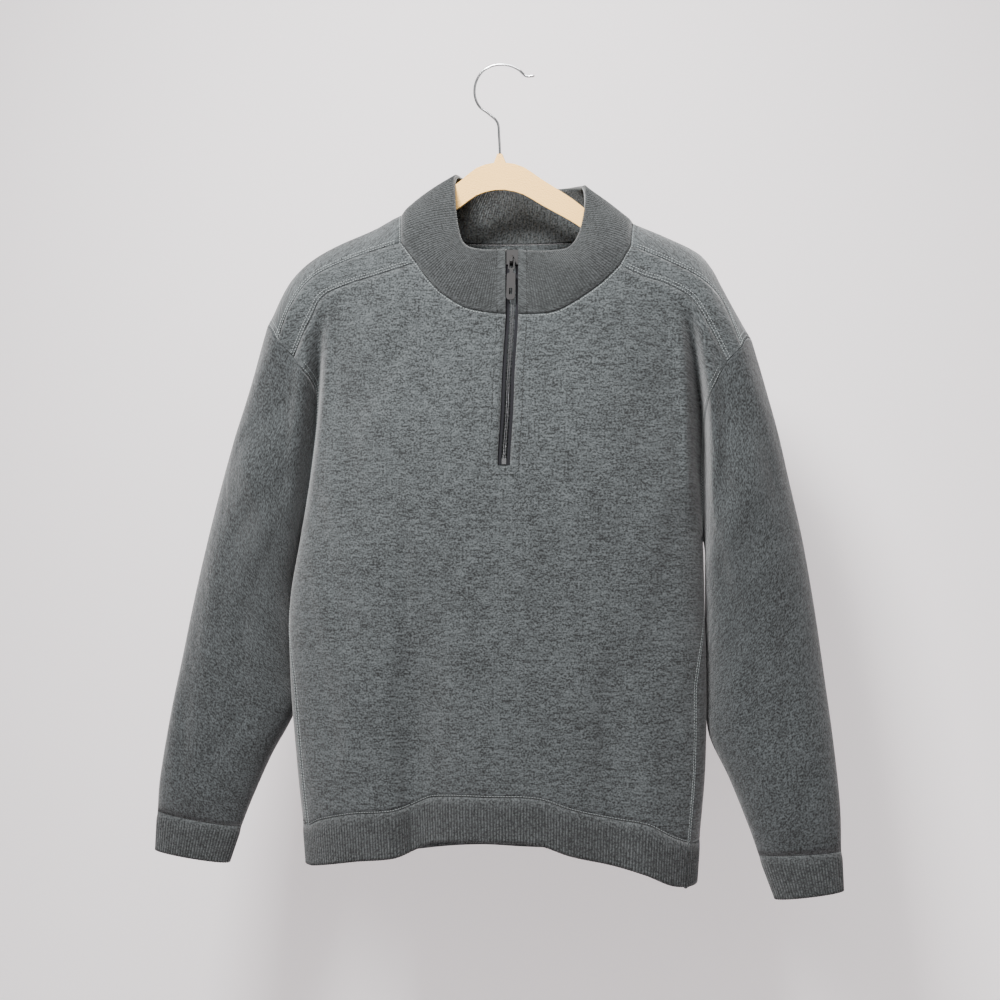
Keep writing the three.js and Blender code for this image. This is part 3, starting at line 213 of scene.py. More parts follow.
HEM_BACK = Table(
    ("x", "seam", "foot"),
    (
        (-218, -834, -879), (-150, -829, -877), (0, -819, -867), (150, -832, -881), (221, -846, -893),
    ),
)

NECK_EDGES = {
    -1: Table(
        ("x", "z"),
        (
            (-8, -277), (-28, -272), (-55, -255), (-72, -237),
        ),
    ),
    1: Table(
        ("x", "z"),
        (
            (51, -280), (71, -277), (105, -257), (122, -243),
        ),
    ),
}

NECK_BACK = Table(
    ("x", "z", "face"),
    (
        (-101, -199, -1), (-110, -164, 0), (-96, -182, 1), (-60, -188, 1), (20, -191, 1), (95, -190, 1),
        (134, -192, 1), (147, -178, 0), (147, -206, -1),
    ),
)

STRIP_UPPERS = {
    -1: Table(
        ("x", "z"),
        (
            (-101, -199), (-161, -216), (-203, -236), (-224, -264), (-240, -303),
        ),
    ),
    1: Table(
        ("x", "z"),
        (
            (147, -206), (186, -223), (223, -243), (243, -264), (264, -314),
        ),
    ),
}

STRIP_LOWERS = {
    -1: Table(
        ("x", "z"),
        (
            (-83, -222), (-125, -234), (-158, -243), (-188, -256), (-203, -282), (-222, -321),
        ),
    ),
    1: Table(
        ("x", "z"),
        (
            (136, -228), (162, -240), (184, -247), (211, -263), (228, -289), (249, -330),
        ),
    ),
}

ARMHOLE_FRONTS = {
    -1: Table(
        ("x", "z"),
        (
            (-222, -321), (-206, -347), (-204, -389), (-209, -433), (-215, -477), (-221, UNDERARM_Z),
        ),
    ),
    1: Table(
        ("x", "z"),
        (
            (249, -330), (236, -355), (226, -389), (223, -433), (223, -477), (223, UNDERARM_Z),
        ),
    ),
}

ARMHOLE_BACKS = {
    -1: Table(
        ("x", "z", "face"),
        (
            (-240, -303, -1), (-264, -296, 0), (-245, -310, 1), (-222, -335, 1), (-210, -389, 1),
            (-211, -433, 1), (-216, -477, 1), (-221, UNDERARM_Z, 1),
        ),
    ),
    1: Table(
        ("x", "z", "face"),
        (
            (264, -314, -1), (274, -306, 0), (258, -322, 1), (238, -348, 1), (220, -389, 1),
            (217, -433, 1), (220.6, -477, 1), (223, UNDERARM_Z, 1),
        ),
    ),
}

SLEEVES = {
    -1: Table(
        ("t", "outX", "outZ", "inX", "inZ", "deep", "midY"),
        (
            (0, -264, -296, -221, -518, 46, 0),
            (0.08, -278, -336, -227.5, -534, 49, 6),
            (0.18, -294, -388, -232, -556, 51, 11),
            (0.3, -313, -450, -236, -590, 50, 15),
            (0.42, -330, -512, -236, -630, 48, 16),
            (0.55, -347, -584, -235.5, -674, 44, 14),
            (0.68, -361, -655, -235, -713, 39, 9),
            (0.8, -372, -716, -260, -763, 34, 1),
            (0.92, -383, -790, -281, -813, 28, -6),
            (1, -385, -825, -291, -840, 20, -9),
        ),
    ),
    1: Table(
        ("t", "outX", "outZ", "inX", "inZ", "deep", "midY"),
        (
            (0, 274, -306, 223, -518, 46, 0),
            (0.08, 286, -346, 225, -534, 49, 6),
            (0.18, 300, -396, 225, -556, 51, 11),
            (0.3, 315, -462, 225, -595, 50, 15),
            (0.42, 328, -520, 225.5, -638, 48, 16),
            (0.55, 341, -595, 226.5, -684, 44, 14),
            (0.68, 352, -672, 229, -731, 39, 9),
            (0.8, 361, -738, 251, -777, 34, 1),
            (0.92, 368, -806, 273, -830, 28, -6),
            (1, 369, -852, 283, -858, 20, -9),
        ),
    ),
}

COLLAR_TOP = Table(
    ("t", "x", "y", "z"),
    (
        (0, 28, -57, -210),
        (0.08, 58, -57, -212),
        (0.14, 80, -50, -209),
        (0.2, 91, -36, -192),
        (0.26, 95, -18, -163),
        (0.31, 93, 3, -137),
        (0.37, 84, 28, -131),
        (0.43, 60, 44, -130),
        (0.5, 20, 50, -128),
        (0.57, -16, 45, -126),
        (0.63, -40, 28, -122),
        (0.69, -50, 3, -121),
        (0.74, -47, -18, -148),
        (0.8, -40, -37, -184),
        (0.86, -31, -49, -203),
        (0.92, -14, -56, -209),
        (1, 14, -57, -209),
    ),
)

ZIP_MIDDLE = Table(
    ("z", "x"),
    (
        (-205, 21), (-275, 23), (-343, 20), (-385, 19), (-441, 16), (-900, 14),
    ),
)

HOOK_PATH = Table(
    ("x", "z"),
    (
        (0, -96.7), (-1, -78), (-3, -62), (-13, -52), (-23, -44), (-28, -32), (-27, -18), (-20, -6),
        (-10, 0), (0, 1.5), (11, 0), (21, -5), (29, -12), (37, -12),
    ),
)

# The cuffs' lower edges, as an oval's outX, outZ, inX, inZ, deep and midY
CUFF_FEET = {-1: (-387, -869, -305, -881, 18, -10), 1: (371, -895, 301, -905, 18, -10)}


def smooth(t: float | Array) -> Array:
    """A soft step from 0 to 1."""
    c = np.clip(t, 0, 1)
    return c * c * (3 - 2 * c)


def along(points: Array) -> Array:
    """Distance travelled at each point of a line."""
    steps = np.linalg.norm(np.diff(points, axis=0), axis=1)
    return np.concatenate([[0], np.cumsum(steps)])


def drawn(points: Array, steps: int = 60) -> Array:
    """Many points on a centripetal curve through a few points.

    Args:
        points: the points to pass through.
        steps: how many points each stretch gets.

    Returns:
        The points of the curve.
    """
    ends = [2 * points[0] - points[1], *points, 2 * points[-1] - points[-2]]
    made = []
    for a, b, c, d in zip(ends, ends[1:], ends[2:], ends[3:]):
        gap = [math.sqrt(max(np.linalg.norm(q - p), 1e-6)) for p, q in ((a, b), (b, c), (c, d))]
        leave = (b - a) / gap[0] - (c - a) / (gap[0] + gap[1]) + (c - b) / gap[1]
        reach = (c - b) / gap[1] - (d - b) / (gap[1] + gap[2]) + (d - c) / gap[2]
        leave, reach = leave * gap[1], reach * gap[1]
        t = np.linspace(0, 1, steps, endpoint=False)[:, None]
        made.append(
            b * (2 * t**3 - 3 * t**2 + 1)
            + c * (3 * t**2 - 2 * t**3)
            + leave * (t**3 - 2 * t**2 + t)
            + reach * (t**3 - t**2)
        )
    return np.vstack([*made, points[-1:]])


def at_shares(line: Array, shares: Array) -> Array:
    """Points of a line at the given shares of its length."""
    lengths = along(line)
    want = np.asarray(shares) * lengths[-1]
    return np.stack([np.interp(want, lengths, line[:, k]) for k in range(line.shape[1])], axis=1)


def even(cells: int) -> Array:
    """Shares from 0 to 1 in equal steps."""
    return np.linspace(0, 1, cells + 1)


def arch_rise(drop: Array, reach: float) -> Array:
    """How far cloth has come out from a ridge, 0 to 1, at a drop below it."""
    return np.sqrt(1 - (1 - np.clip(drop / reach, 0, 1)) ** 2)


@dataclass(frozen=True)
class Fold:
    """A long soft fold of the trunk, which starts at its top or fades from it."""

    top: tuple[float, float]
    foot: tuple[float, float]
    deep: float
    left: float
    right: float
    fades_down: bool = False

    def depth(self, x: Array, z: Array) -> Array:
        """How far the fold stands in at points of the panel."""
        t = (z - self.top[1]) / (self.foot[1] - self.top[1])
        away = x - (self.top[0] + (self.foot[0] - self.top[0]) * t)
        width = np.where(away < 0, self.left, self.right)
        fade = smooth(t * 6) * smooth((1 - t) * 1.5) if self.fades_down else smooth(t * 1.4)
        return np.where((t < 0) | (t > 1.1), 0, self.deep * fade * np.exp(-((away / width) ** 2)))


@dataclass(frozen=True)
class Crease:
    """A short soft trough, or a ridge where deep is less than 0."""

    start: tuple[float, float]
    end: tuple[float, float]
    deep: float
    left: float
    right: float

    def depth(self, a: Array, b: Array) -> Array:
        """How far the crease stands in at points of a panel's own two measures."""
        way = np.array(self.end) - np.array(self.start)
        length = np.linalg.norm(way)
        way = way / length
        da, db = a - self.start[0], b - self.start[1]
        t = (da * way[0] + db * way[1]) / length
        away = da * way[1] - db * way[0]
        width = np.where(away < 0, self.left, self.right)
        fade = smooth(t * 3 + 0.5) * smooth((1 - t) * 3 + 0.5)
        return self.deep * fade * np.exp(-((away / width) ** 2))


FRONT_FOLDS = (
    Fold((-84, -505), (-92, -880), 17, 9, 42),
    Fold((134, -600), (132, -880), 11, 34, 26),
    Fold((-168, -330), (-150, -560), 6, 16, 24, True),
    Fold((176, -330), (160, -540), 5, 26, 16, True),
)
BACK_FOLDS = (
    Fold((-110, -560), (-118, -880), 13, 24, 34),
    Fold((24, -620), (12, -880), 8, 30, 30),
    Fold((126, -520), (140, -880), 12, 30, 20),
    Fold((-168, -330), (-150, -540), 6, 16, 24, True),
    Fold((172, -330), (160, -540), 6, 24, 16, True),
)

# Smaller creases on the panels, as start and end points, depth and width on each side
FRONT_CREASES = (
    Crease((-90, -520), (-99, -700), 3.5, 4, 11),
    Crease((-98, -660), (-99, -858), 5.0, 4, 14),
    Crease((126, -640), (116, -790), 3.0, 16, 7),
    Crease((-86, -300), (-150, -390), 2.2, 9, 16),
    Crease((-62, -330), (-120, -500), 1.6, 14, 20),
    Crease((118, -300), (166, -400), 2.0, 14, 9),
    Crease((96, -330), (120, -520), -1.4, 16, 22),
    Crease((-196, -470), (-150, -640), 2.4, 12, 20),
    Crease((-208, -560), (-170, -760), 1.8, 10, 22),
    Crease((-150, -640), (-158, -800), -2.0, 18, 14),
    Crease((196, -480), (168, -660), 2.2, 20, 12),
    Crease((60, -560), (76, -790), 1.8, 24, 14),
    Crease((-40, -600), (-30, -790), -1.6, 22, 26),
    Crease((10, -480), (4, -620), 1.2, 18, 24),
    Crease((186, -680), (196, -830), 1.8, 12, 14),
)
BACK_CREASES = (
    Crease((-84, -256), (-150, -360), 1.8, 20, 28),
    Crease((112, -262), (172, -370), 2.0, 28, 20),
    Crease((-30, -330), (-60, -560), 1.6, 20, 26),
    Crease((70, -380), (80, -600), -1.6, 22, 18),
    Crease((-190, -480), (-160, -680), 2.4, 12, 18),
    Crease((190, -500), (176, -700), 2.0, 18, 12),
    Crease((-60, -640), (-50, -810), 1.8, 16, 24),
    Crease((70, -660), (84, -820), 1.6, 24, 14),
)

# Creases of a sleeve, as the turn round it and the way down it in units of Panels, depth and widths
SLEEVE_CREASES = {
    -1: (
        Crease((112, 34), (70, 150), 3.4, 9, 16),
        Crease((132, 70), (98, 210), 3.0, 10, 15),
        Crease((60, 20), (40, 90), 2.0, 8, 14),
        Crease((96, 190), (108, 300), 3.2, 9, 13),
        Crease((56, 170), (66, 290), -2.2, 16, 12),
        Crease((120, 280), (86, 360), 2.8, 8, 14),
        Crease((48, 300), (76, 376), 2.4, 12, 9),
        Crease((-70, 60), (-110, 190), 3.0, 12, 16),
        Crease((-120, 220), (-90, 330), 2.6, 10, 16),
    ),
    1: (
        Crease((110, 30), (76, 140), 3.2, 10, 15),
        Crease((134, 84), (108, 200), 3.2, 9, 16),
        Crease((52, 30), (44, 120), 1.8, 9, 13),
        Crease((92, 176), (104, 310), 2.8, 12, 10),
        Crease((124, 230), (116, 330), -2.4, 10, 14),
        Crease((60, 200), (84, 330), 2.2, 14, 10),
        Crease((60, 330), (90, 386), 2.6, 9, 12),
        Crease((-76, 50), (-104, 170), 3.0, 14, 12),
        Crease((-110, 240), (-80, 350), 2.4, 12, 14),
    ),
}


def depth_of(marks: Sequence[Fold | Crease], a: Array, b: Array) -> Array:
    """How far folds or creases stand in together."""
    return sum((mark.depth(a, b) for mark in marks), np.zeros(np.shape(a)))


def shoulder_z(x: Array) -> Array:
    """Height of the shoulder line."""
    return SHOULDER_LINE.at("x", "z", x)


def trunk_sides(z: Array) -> tuple[Array, Array]:
    """Places of the trunk's left and right sides across, at a height."""
    return TRUNK.at("z", "left", z), TRUNK.at("z", "right", z)


def trunk_y(x: Array, z: Array, face: Array | int) -> Array:
    """Place of the trunk's cloth in depth.

    Args:
        x: across.
        z: height.
        face: -1 for the front and 1 for the back.

    Returns:
        The y of the cloth's middle layer.
    """
    x, z, face = np.broadcast_arrays(np.asarray(x, float), np.asarray(z, float), face)
    is_front = face < 0
    left, right = trunk_sides(z)
    q = (2 * x - left - right) / (right - left)
    drop = shoulder_z(x) - z
    deep = np.where(is_front, TRUNK.at("z", "front", z), TRUNK.at("z", "back", z))
    flank = np.where(is_front, TRUNK.at("z", "flankFront", z), TRUNK.at("z", "flankBack", z))
    round_off = np.maximum(0, 1 - np.abs(q) ** ROUND_POWER) ** (1 / ROUND_POWER)
    folds = np.where(is_front, depth_of(FRONT_FOLDS, x, z), depth_of(BACK_FOLDS, x, z))
    trunk = np.maximum(0, deep * arch_rise(drop, SHOULDER_ARCH) - folds) * round_off
    beside = np.maximum(0, flank) * arch_rise(drop, FLANK_ARCH)
    return face * (trunk**BLEND_POWER + beside**BLEND_POWER) ** (1 / BLEND_POWER)


def pressed(points: Array) -> Array:
    """Points with the creases between the body and the sleeves pressed in."""
    x, y, z = np.moveaxis(points, -1, 0)
    middle = np.where(x < 0, ARM_CREASE.at("z", "left", z), ARM_CREASE.at("z", "right", z))
    half = ARM_CREASE.at("z", "half", z)

    def bell(shift: float) -> Array:
        """A smooth rise and fall about the crease's middle, or beside it."""
        return np.exp(-(((x - middle - shift) / half) ** 2))

    far_roll = bell(ROLL_OFF) * np.where(x < 0, LEFT_ROLL_SHARE, 1)
    dent = bell(0) - ROLL_SHARE * (bell(-ROLL_OFF) + far_roll)
    deep = np.where(x < 0, ARM_CREASE.at("z", "deepLeft", z), ARM_CREASE.at("z", "deepRight", z))
    deep = np.maximum(0, deep) * dent
    reached = (y <= 0) & (z <= ARM_CREASE.rows[0][0]) & (z >= ARM_CREASE.rows[-1][0])
    return np.stack([x, y + np.where(reached, deep, 0), z], axis=-1)


def run_of(x: Array, z: Array, face: Array | int) -> Array:
    """Way run down the cloth from the shoulder line, less than 0 in front."""
    drop = np.maximum(0, shoulder_z(x) - z)
    turn = np.arccos(1 - np.minimum(1, drop / SHOULDER_ARCH))
    run = UNFOLD_RADIUS * turn + np.maximum(0, drop - SHOULDER_ARCH)
    return np.where(np.asarray(face) < 0, -run, run)


def drop_of_run(run: Array) -> Array:
    """Drop below the shoulder line after a way run down the cloth."""
    run = np.abs(run)
    turn = np.minimum(np.pi / 2, run / UNFOLD_RADIUS)
    return SHOULDER_ARCH * (1 - np.cos(turn)) + np.maximum(0, run - UNFOLD_RADIUS * np.pi / 2)


def seam_wrap(z: Array) -> Array:
    """How far the side seam has come round to the front, 0 to 1."""
    return smooth((WRAP_TOP_Z - z) / WRAP_RUN)


def side_seam_x(z: Array, side: int) -> Array:
    """Place of a side seam across, at a height."""
    left, right = trunk_sides(z)
    angle = np.radians(90 - SEAM_WRAP_DEG * seam_wrap(z))
    return (left + right) / 2 + side * (right - left) * np.sin(angle) ** (2 / ROUND_POWER) / 2


def front_points(pairs: Array) -> Array:
    """Points of the front from pairs of x and z."""
    x, z = pairs[..., 0], pairs[..., 1]
    return np.stack([x, trunk_y(x, z, -1), z], axis=-1)


def back_points(pairs: Array) -> Array:
    """Points of the back panel from pairs of x and run, whose sides come round to the front."""
    x, run = pairs[..., 0], pairs[..., 1]
    z = shoulder_z(x) - drop_of_run(run)
    wrap = np.where(run < 0, 0, seam_wrap(z))
    left, right = trunk_sides(z)
    q = (2 * x - left - right) / (right - left)
    angle = np.arcsin(np.minimum(1, np.abs(q)) ** (ROUND_POWER / 2)) * (1 + SEAM_WRAP_DEG / 90 * wrap)
    reach = np.abs(np.sin(angle)) ** (2 / ROUND_POWER)
    wrapped = np.where(wrap > 0, (left + right) / 2 + np.sign(q) * (right - left) * reach / 2, x)
    comes_round = (wrap > 0) & (np.cos(angle) < 0)
    face = np.where((run < 0) | comes_round, -1, 1)
    return np.stack([wrapped, trunk_y(wrapped, z, face), z], axis=-1)


def patch(top: Array, foot: Array, left: Array, right: Array, across: Array, down: Array) -> Array:
    """Fill the space between four boundary lines by Coons' rule."""
    u, v = across[None, :, None], down[:, None, None]
    sides = left[:, None] * (1 - u) + right[:, None] * u
    ends = top[None] * (1 - v) + foot[None] * v
    high = top[0] * (1 - u) + top[-1] * u
    low = foot[0] * (1 - u) + foot[-1] * u
    return sides + ends - (high * (1 - v) + low * v)


HALF = SEAM + NECK
HALF_ACROSS = 1 - np.sin(np.pi / 2 * (1 - np.arange(HALF + 1) / HALF)) ** (2 / ROUND_POWER)
SEAM_SHARES = HALF_ACROSS[: SEAM + 1] / HALF_ACROSS[SEAM]
NOTCH_ROWS = FINE * round((ARMHOLE + SIDE) / FINE * NOTCH_SHARE)


def zip_x(z: Array) -> Array:
    """Place of the zip's middle across."""
    return ZIP_MIDDLE.at("z", "x", z)


def side_rows(side: int) -> Array:
    """The side seam's points from the underarm to the hem band."""
    seam_z = HEM_FRONT.column("seam")[0 if side < 0 else -1]
    z = UNDERARM_Z + (seam_z - UNDERARM_Z) * even(SIDE)
    return np.stack([side_seam_x(z, side), z], axis=1)


def front_half(side: int) -> Array:
    """Pairs of half of the front panel, from the side to the zip."""
    lower = STRIP_LOWERS[side].points()
    neck = NECK_EDGES[side].points()
    zip_edge = np.array([[zip_x(NECK_FRONT_Z) + side * ZIP_OPEN_HALF, NECK_FRONT_Z]])
    seam_part = at_shares(drawn(lower[::-1]), SEAM_SHARES)
    neck_part = at_shares(drawn(np.vstack([lower[:1], neck[::-1], zip_edge])), even(NECK))
    top = np.vstack([seam_part, neck_part[1:]])
    armhole = drawn(ARMHOLE_FRONTS[side].points())
    outer = np.vstack([at_shares(armhole, even(ARMHOLE)), side_rows(side)[1:]])
    rows = ARMHOLE + SIDE
    foot_z = HEM_FRONT.at("x", "seam", zip_x(-800) + side * ZIP_OPEN_HALF)
    z = np.concatenate(
        [
            np.linspace(NECK_FRONT_Z, ZIP_BOTTOM_Z, NOTCH_ROWS + 1),
            np.linspace(ZIP_BOTTOM_Z, foot_z, rows - NOTCH_ROWS + 1)[1:],
        ]
    )
    inner = np.stack([zip_x(z) + side * ZIP_OPEN_HALF, z], axis=1)
    x = outer[-1][0] * (1 - HALF_ACROSS) + inner[-1][0] * HALF_ACROSS
    foot = np.stack([x, HEM_FRONT.at("x", "seam", x)], axis=1)
    foot[0], foot[-1] = outer[-1], inner[-1]
    return patch(top, foot, outer, inner, HALF_ACROSS, even(rows))


def front_pairs() -> Array:
    """Pairs of the whole front panel, with one column along the zip's middle."""
    left, right = front_half(-1), front_half(1)
    z = (left[:, -1, 1] + right[:, -1, 1]) / 2
    middle = np.stack([zip_x(z), z], axis=1)[:, None]
    return np.concatenate([left, middle, right[:, ::-1]], axis=1)


def strip_pairs(side: int) -> Array:
    """Pairs of the strip between the two shoulder seams, from the armhole to the neck."""
    upper = STRIP_UPPERS[side].points()[::-1]
    lower = STRIP_LOWERS[side].points()[::-1]
    a, b = at_shares(drawn(upper), SEAM_SHARES), at_shares(drawn(lower), SEAM_SHARES)
    v = even(STRIP)[:, None, None]
    return a * (1 - v) + b * v


def laid_out(pairs: Array, face: int | Array) -> Array:
    """Pairs of x and run from pairs of x and z."""
    return np.stack([pairs[:, 0], run_of(pairs[:, 0], pairs[:, 1], face)], axis=1)


def back_table(table: Table, first: int, last: int | None) -> Array:
    """A drawn line of x and run through some rows of a table that names its face."""
    return drawn(laid_out(table.points()[first:last], np.sign(table.column("face")[first:last] + 0.5)))


def ridge_part(side: int) -> Array:
    """The shoulder line from the armhole to the neck, as x and run."""
    x = SHOULDER_LINE.column("x")
    neck_x = NECK_BACK.column("x")[1 if side < 0 else -2]
    points = SHOULDER_LINE.points()
    points = points[x <= neck_x] if side < 0 else points[x >= neck_x][::-1]
    line = at_shares(drawn(points), SEAM_SHARES)
    return np.stack([line[:, 0], np.zeros(len(line))], axis=1)


def yoke_pairs(side: int) -> Array:
    """The back panel's part in front of the shoulder line, from the strip to the line."""
    upper = STRIP_UPPERS[side].points()[::-1]
    top = laid_out(at_shares(drawn(upper), SEAM_SHARES), -1)
    foot = ridge_part(side)
    armhole = np.linspace(top[0], foot[0], YOKE + 1)
    neck = np.linspace(top[-1], foot[-1], YOKE + 1)
    return patch(top, foot, armhole, neck, even(SEAM), even(YOKE))


def back_pairs() -> Array:
    """The back panel as x and run, its parts in front of the shoulder line first."""
    neck = at_shares(back_table(NECK_BACK, 1, -1), even(BACK_NECK))
    top = np.vstack([ridge_part(-1), neck[1:-1], ridge_part(1)[::-1]])

    def edge(side: int) -> Array:
        """One edge, down the armhole and the side seam."""
        armhole = at_shares(back_table(ARMHOLE_BACKS[side], 1, None), even(BACK_ARMHOLE))
        z = side_rows(side)[1:, 1]
        x = trunk_sides(z)[0 if side < 0 else 1]
        return np.vstack([armhole, np.stack([x, run_of(x, z, 1)], axis=1)])

    left, right = edge(-1), edge(1)
    outer = HALF_ACROSS[: SEAM + 1] / 2
    inner = np.linspace(outer[-1], 1 - outer[-1], BACK_NECK + 1)[1:-1]
    across = np.concatenate([outer, inner, 1 - outer[::-1]])
    x = left[-1][0] * (1 - across) + right[-1][0] * across
    foot = np.stack([x, run_of(x, HEM_BACK.at("x", "seam", x), 1)], axis=1)
    foot[0], foot[-1] = left[-1], right[-1]
    behind = patch(top, foot, left, right, across, even(len(left) - 1))
    between = np.repeat(behind[:1, SEAM + 1 : SEAM + BACK_NECK], YOKE, axis=0)
    before = [yoke_pairs(-1)[:-1], between, yoke_pairs(1)[:-1, ::-1]]
    return np.vstack([np.concatenate(before, axis=1), behind])


def oval(row: Sequence[Array], turn: Array) -> Array:
    """Points of a sleeve's oval: turn 0 is its outer edge, pi its inner one, in front between them."""
    out_x, out_z, in_x, in_z, deep, mid_y = row
    share = (1 + np.cos(turn)) / 2
    bow = np.sign(np.sin(turn)) * np.abs(np.sin(turn)) ** OVAL_POWER
    x = in_x + (out_x - in_x) * share
    z = in_z + (out_z - in_z) * share
    return np.stack(np.broadcast_arrays(x, mid_y - deep * bow, z), axis=-1)


def sleeve_rows(table: Table, t: Array) -> list[Array]:
    """The sleeve table's columns at shares of the way down, each as a column of one."""
    return [table.at("t", name, t)[:, None] for name in ("outX", "outZ", "inX", "inZ", "deep", "midY")]


def loop_turns(loop: Array) -> Array:
    """Turns of an armhole's points: 0 at its highest point, pi at the underarm, less than 0 behind."""
    peak = int(np.argmax(loop[:, 2]))
    lengths = along(np.vstack([loop, loop[:1]]))
    behind = -np.pi * (1 - lengths[:-1] / lengths[peak])
    before = np.pi * (lengths[:-1] - lengths[peak]) / (lengths[-1] - lengths[peak])
    return np.where(np.arange(len(loop)) <= peak, behind, before)


@dataclass
class Grid:
    """A grid of a panel's middle points with their outward normals."""

    points: Array
    sense: int
    is_ring: bool = False
    hole: Array | None = None
    normals: Array | None = None
    is_level: bool = False

    def __post_init__(self) -> None:
        """Work out the normals."""
        self.renew()

    def quarters(self) -> tuple[Array, Array, Array, Array]:
        """Whether each point has cloth up left, up right, down left and down right of it."""
        rows, cols = self.points.shape[:2]
        solid = np.ones((rows - 1, cols if self.is_ring else cols - 1), bool)
        if self.hole is not None:
            solid &= ~self.hole
        none = np.zeros((1, solid.shape[1]), bool)
        made = []
        for part in (np.vstack([none, solid]), np.vstack([solid, none])):
            side = np.zeros((rows, 1), bool)
            made.append(np.roll(part, 1, axis=1) if self.is_ring else np.hstack([side, part]))
            made.append(part if self.is_ring else np.hstack([part, side]))
        return made[0], made[1], made[2], made[3]

    def renew(self) -> None:
        """Work the normals out again after the points have moved."""
        p = self.points
        up_left, up_right, down_left, down_right = self.quarters()
        right = np.where((up_right | down_right)[..., None], np.roll(p, -1, axis=1) - p, 0)
        left = np.where((up_left | down_left)[..., None], p - np.roll(p, 1, axis=1), 0)
        down = np.where((down_left | down_right)[..., None], np.roll(p, -1, axis=0) - p, 0)
        up = np.where((up_left | up_right)[..., None], p - np.roll(p, 1, axis=0), 0)
        normals = np.cross(left + right, up + down) * self.sense
        self.normals = normals / np.maximum(np.linalg.norm(normals, axis=2, keepdims=True), 1e-9)

    def sink(self, depth: Array) -> None:
        """Move the points in by a depth, less towards the edges, and renew the normals."""
        rows, cols = depth.shape
        edge = np.minimum(np.arange(rows), rows - 1 - np.arange(rows))[:, None] / (EDGE_ROWS_SHARE * rows)
        if not self.is_ring:
            sides = np.minimum(np.arange(cols), cols - 1 - np.arange(cols))[None] / (EDGE_COLUMNS_SHARE * cols)
            edge = np.minimum(edge, sides)
        self.points = self.points - self.normals * (depth * smooth(edge))[..., None]
        self.renew()


def share_normals(grids: Sequence[Grid]) -> None:
    """Give points that panels share one normal, half from the trunk and half from the sleeve."""
    sums: dict[tuple[int, ...], list[Array]] = {}
    keys = [np.round(grid.points * SAME_PLACE_PER_MM).astype(int) for grid in grids]
    for grid, key in zip(grids, keys):
        for where in np.ndindex(key.shape[:2]):
            halves = sums.setdefault(tuple(key[where]), [np.zeros(3), np.zeros(3)])
            halves[int(grid.is_ring)] = halves[int(grid.is_ring)] + grid.normals[where]
    for grid, key in zip(grids, keys):
        for where in np.ndindex(key.shape[:2]):
            units = [h / max(np.linalg.norm(h), 1e-9) for h in sums[tuple(key[where])]]
            both = units[0] + units[1]
            grid.normals[where] = both / max(np.linalg.norm(both), 1e-9)


def uv_of(grid: Grid) -> Array:
    """Place of each point on the cloth in metres, across and down, with one more column on a ring.

    On a panel whose courses are level, across is the way across the sweater, and down is the way up
    from the foot of each column.
    """
    if grid.is_level:
        steps = np.linalg.norm(np.diff(grid.points, axis=0), axis=2)[::-1]
        up = np.concatenate([np.zeros((1, steps.shape[1])), np.cumsum(steps, axis=0)])[::-1]
        return np.stack([grid.points[..., 0], -grid.points[-1:, :, 2] - up], axis=2) * MM
    p = np.concatenate([grid.points, grid.points[:, :1]], axis=1) if grid.is_ring else grid.points
    across = np.linalg.norm(np.diff(p, axis=1), axis=2)
    u = np.concatenate([np.zeros((len(p), 1)), np.cumsum(across, axis=1)], axis=1)
    down = np.linalg.norm(np.diff(p, axis=0), axis=2).mean(axis=1)
    v = np.concatenate([[0], np.cumsum(down)])[:, None] * np.ones((1, p.shape[1]))
    return np.stack([u - u.mean(axis=1, keepdims=True), v], axis=2) * MM


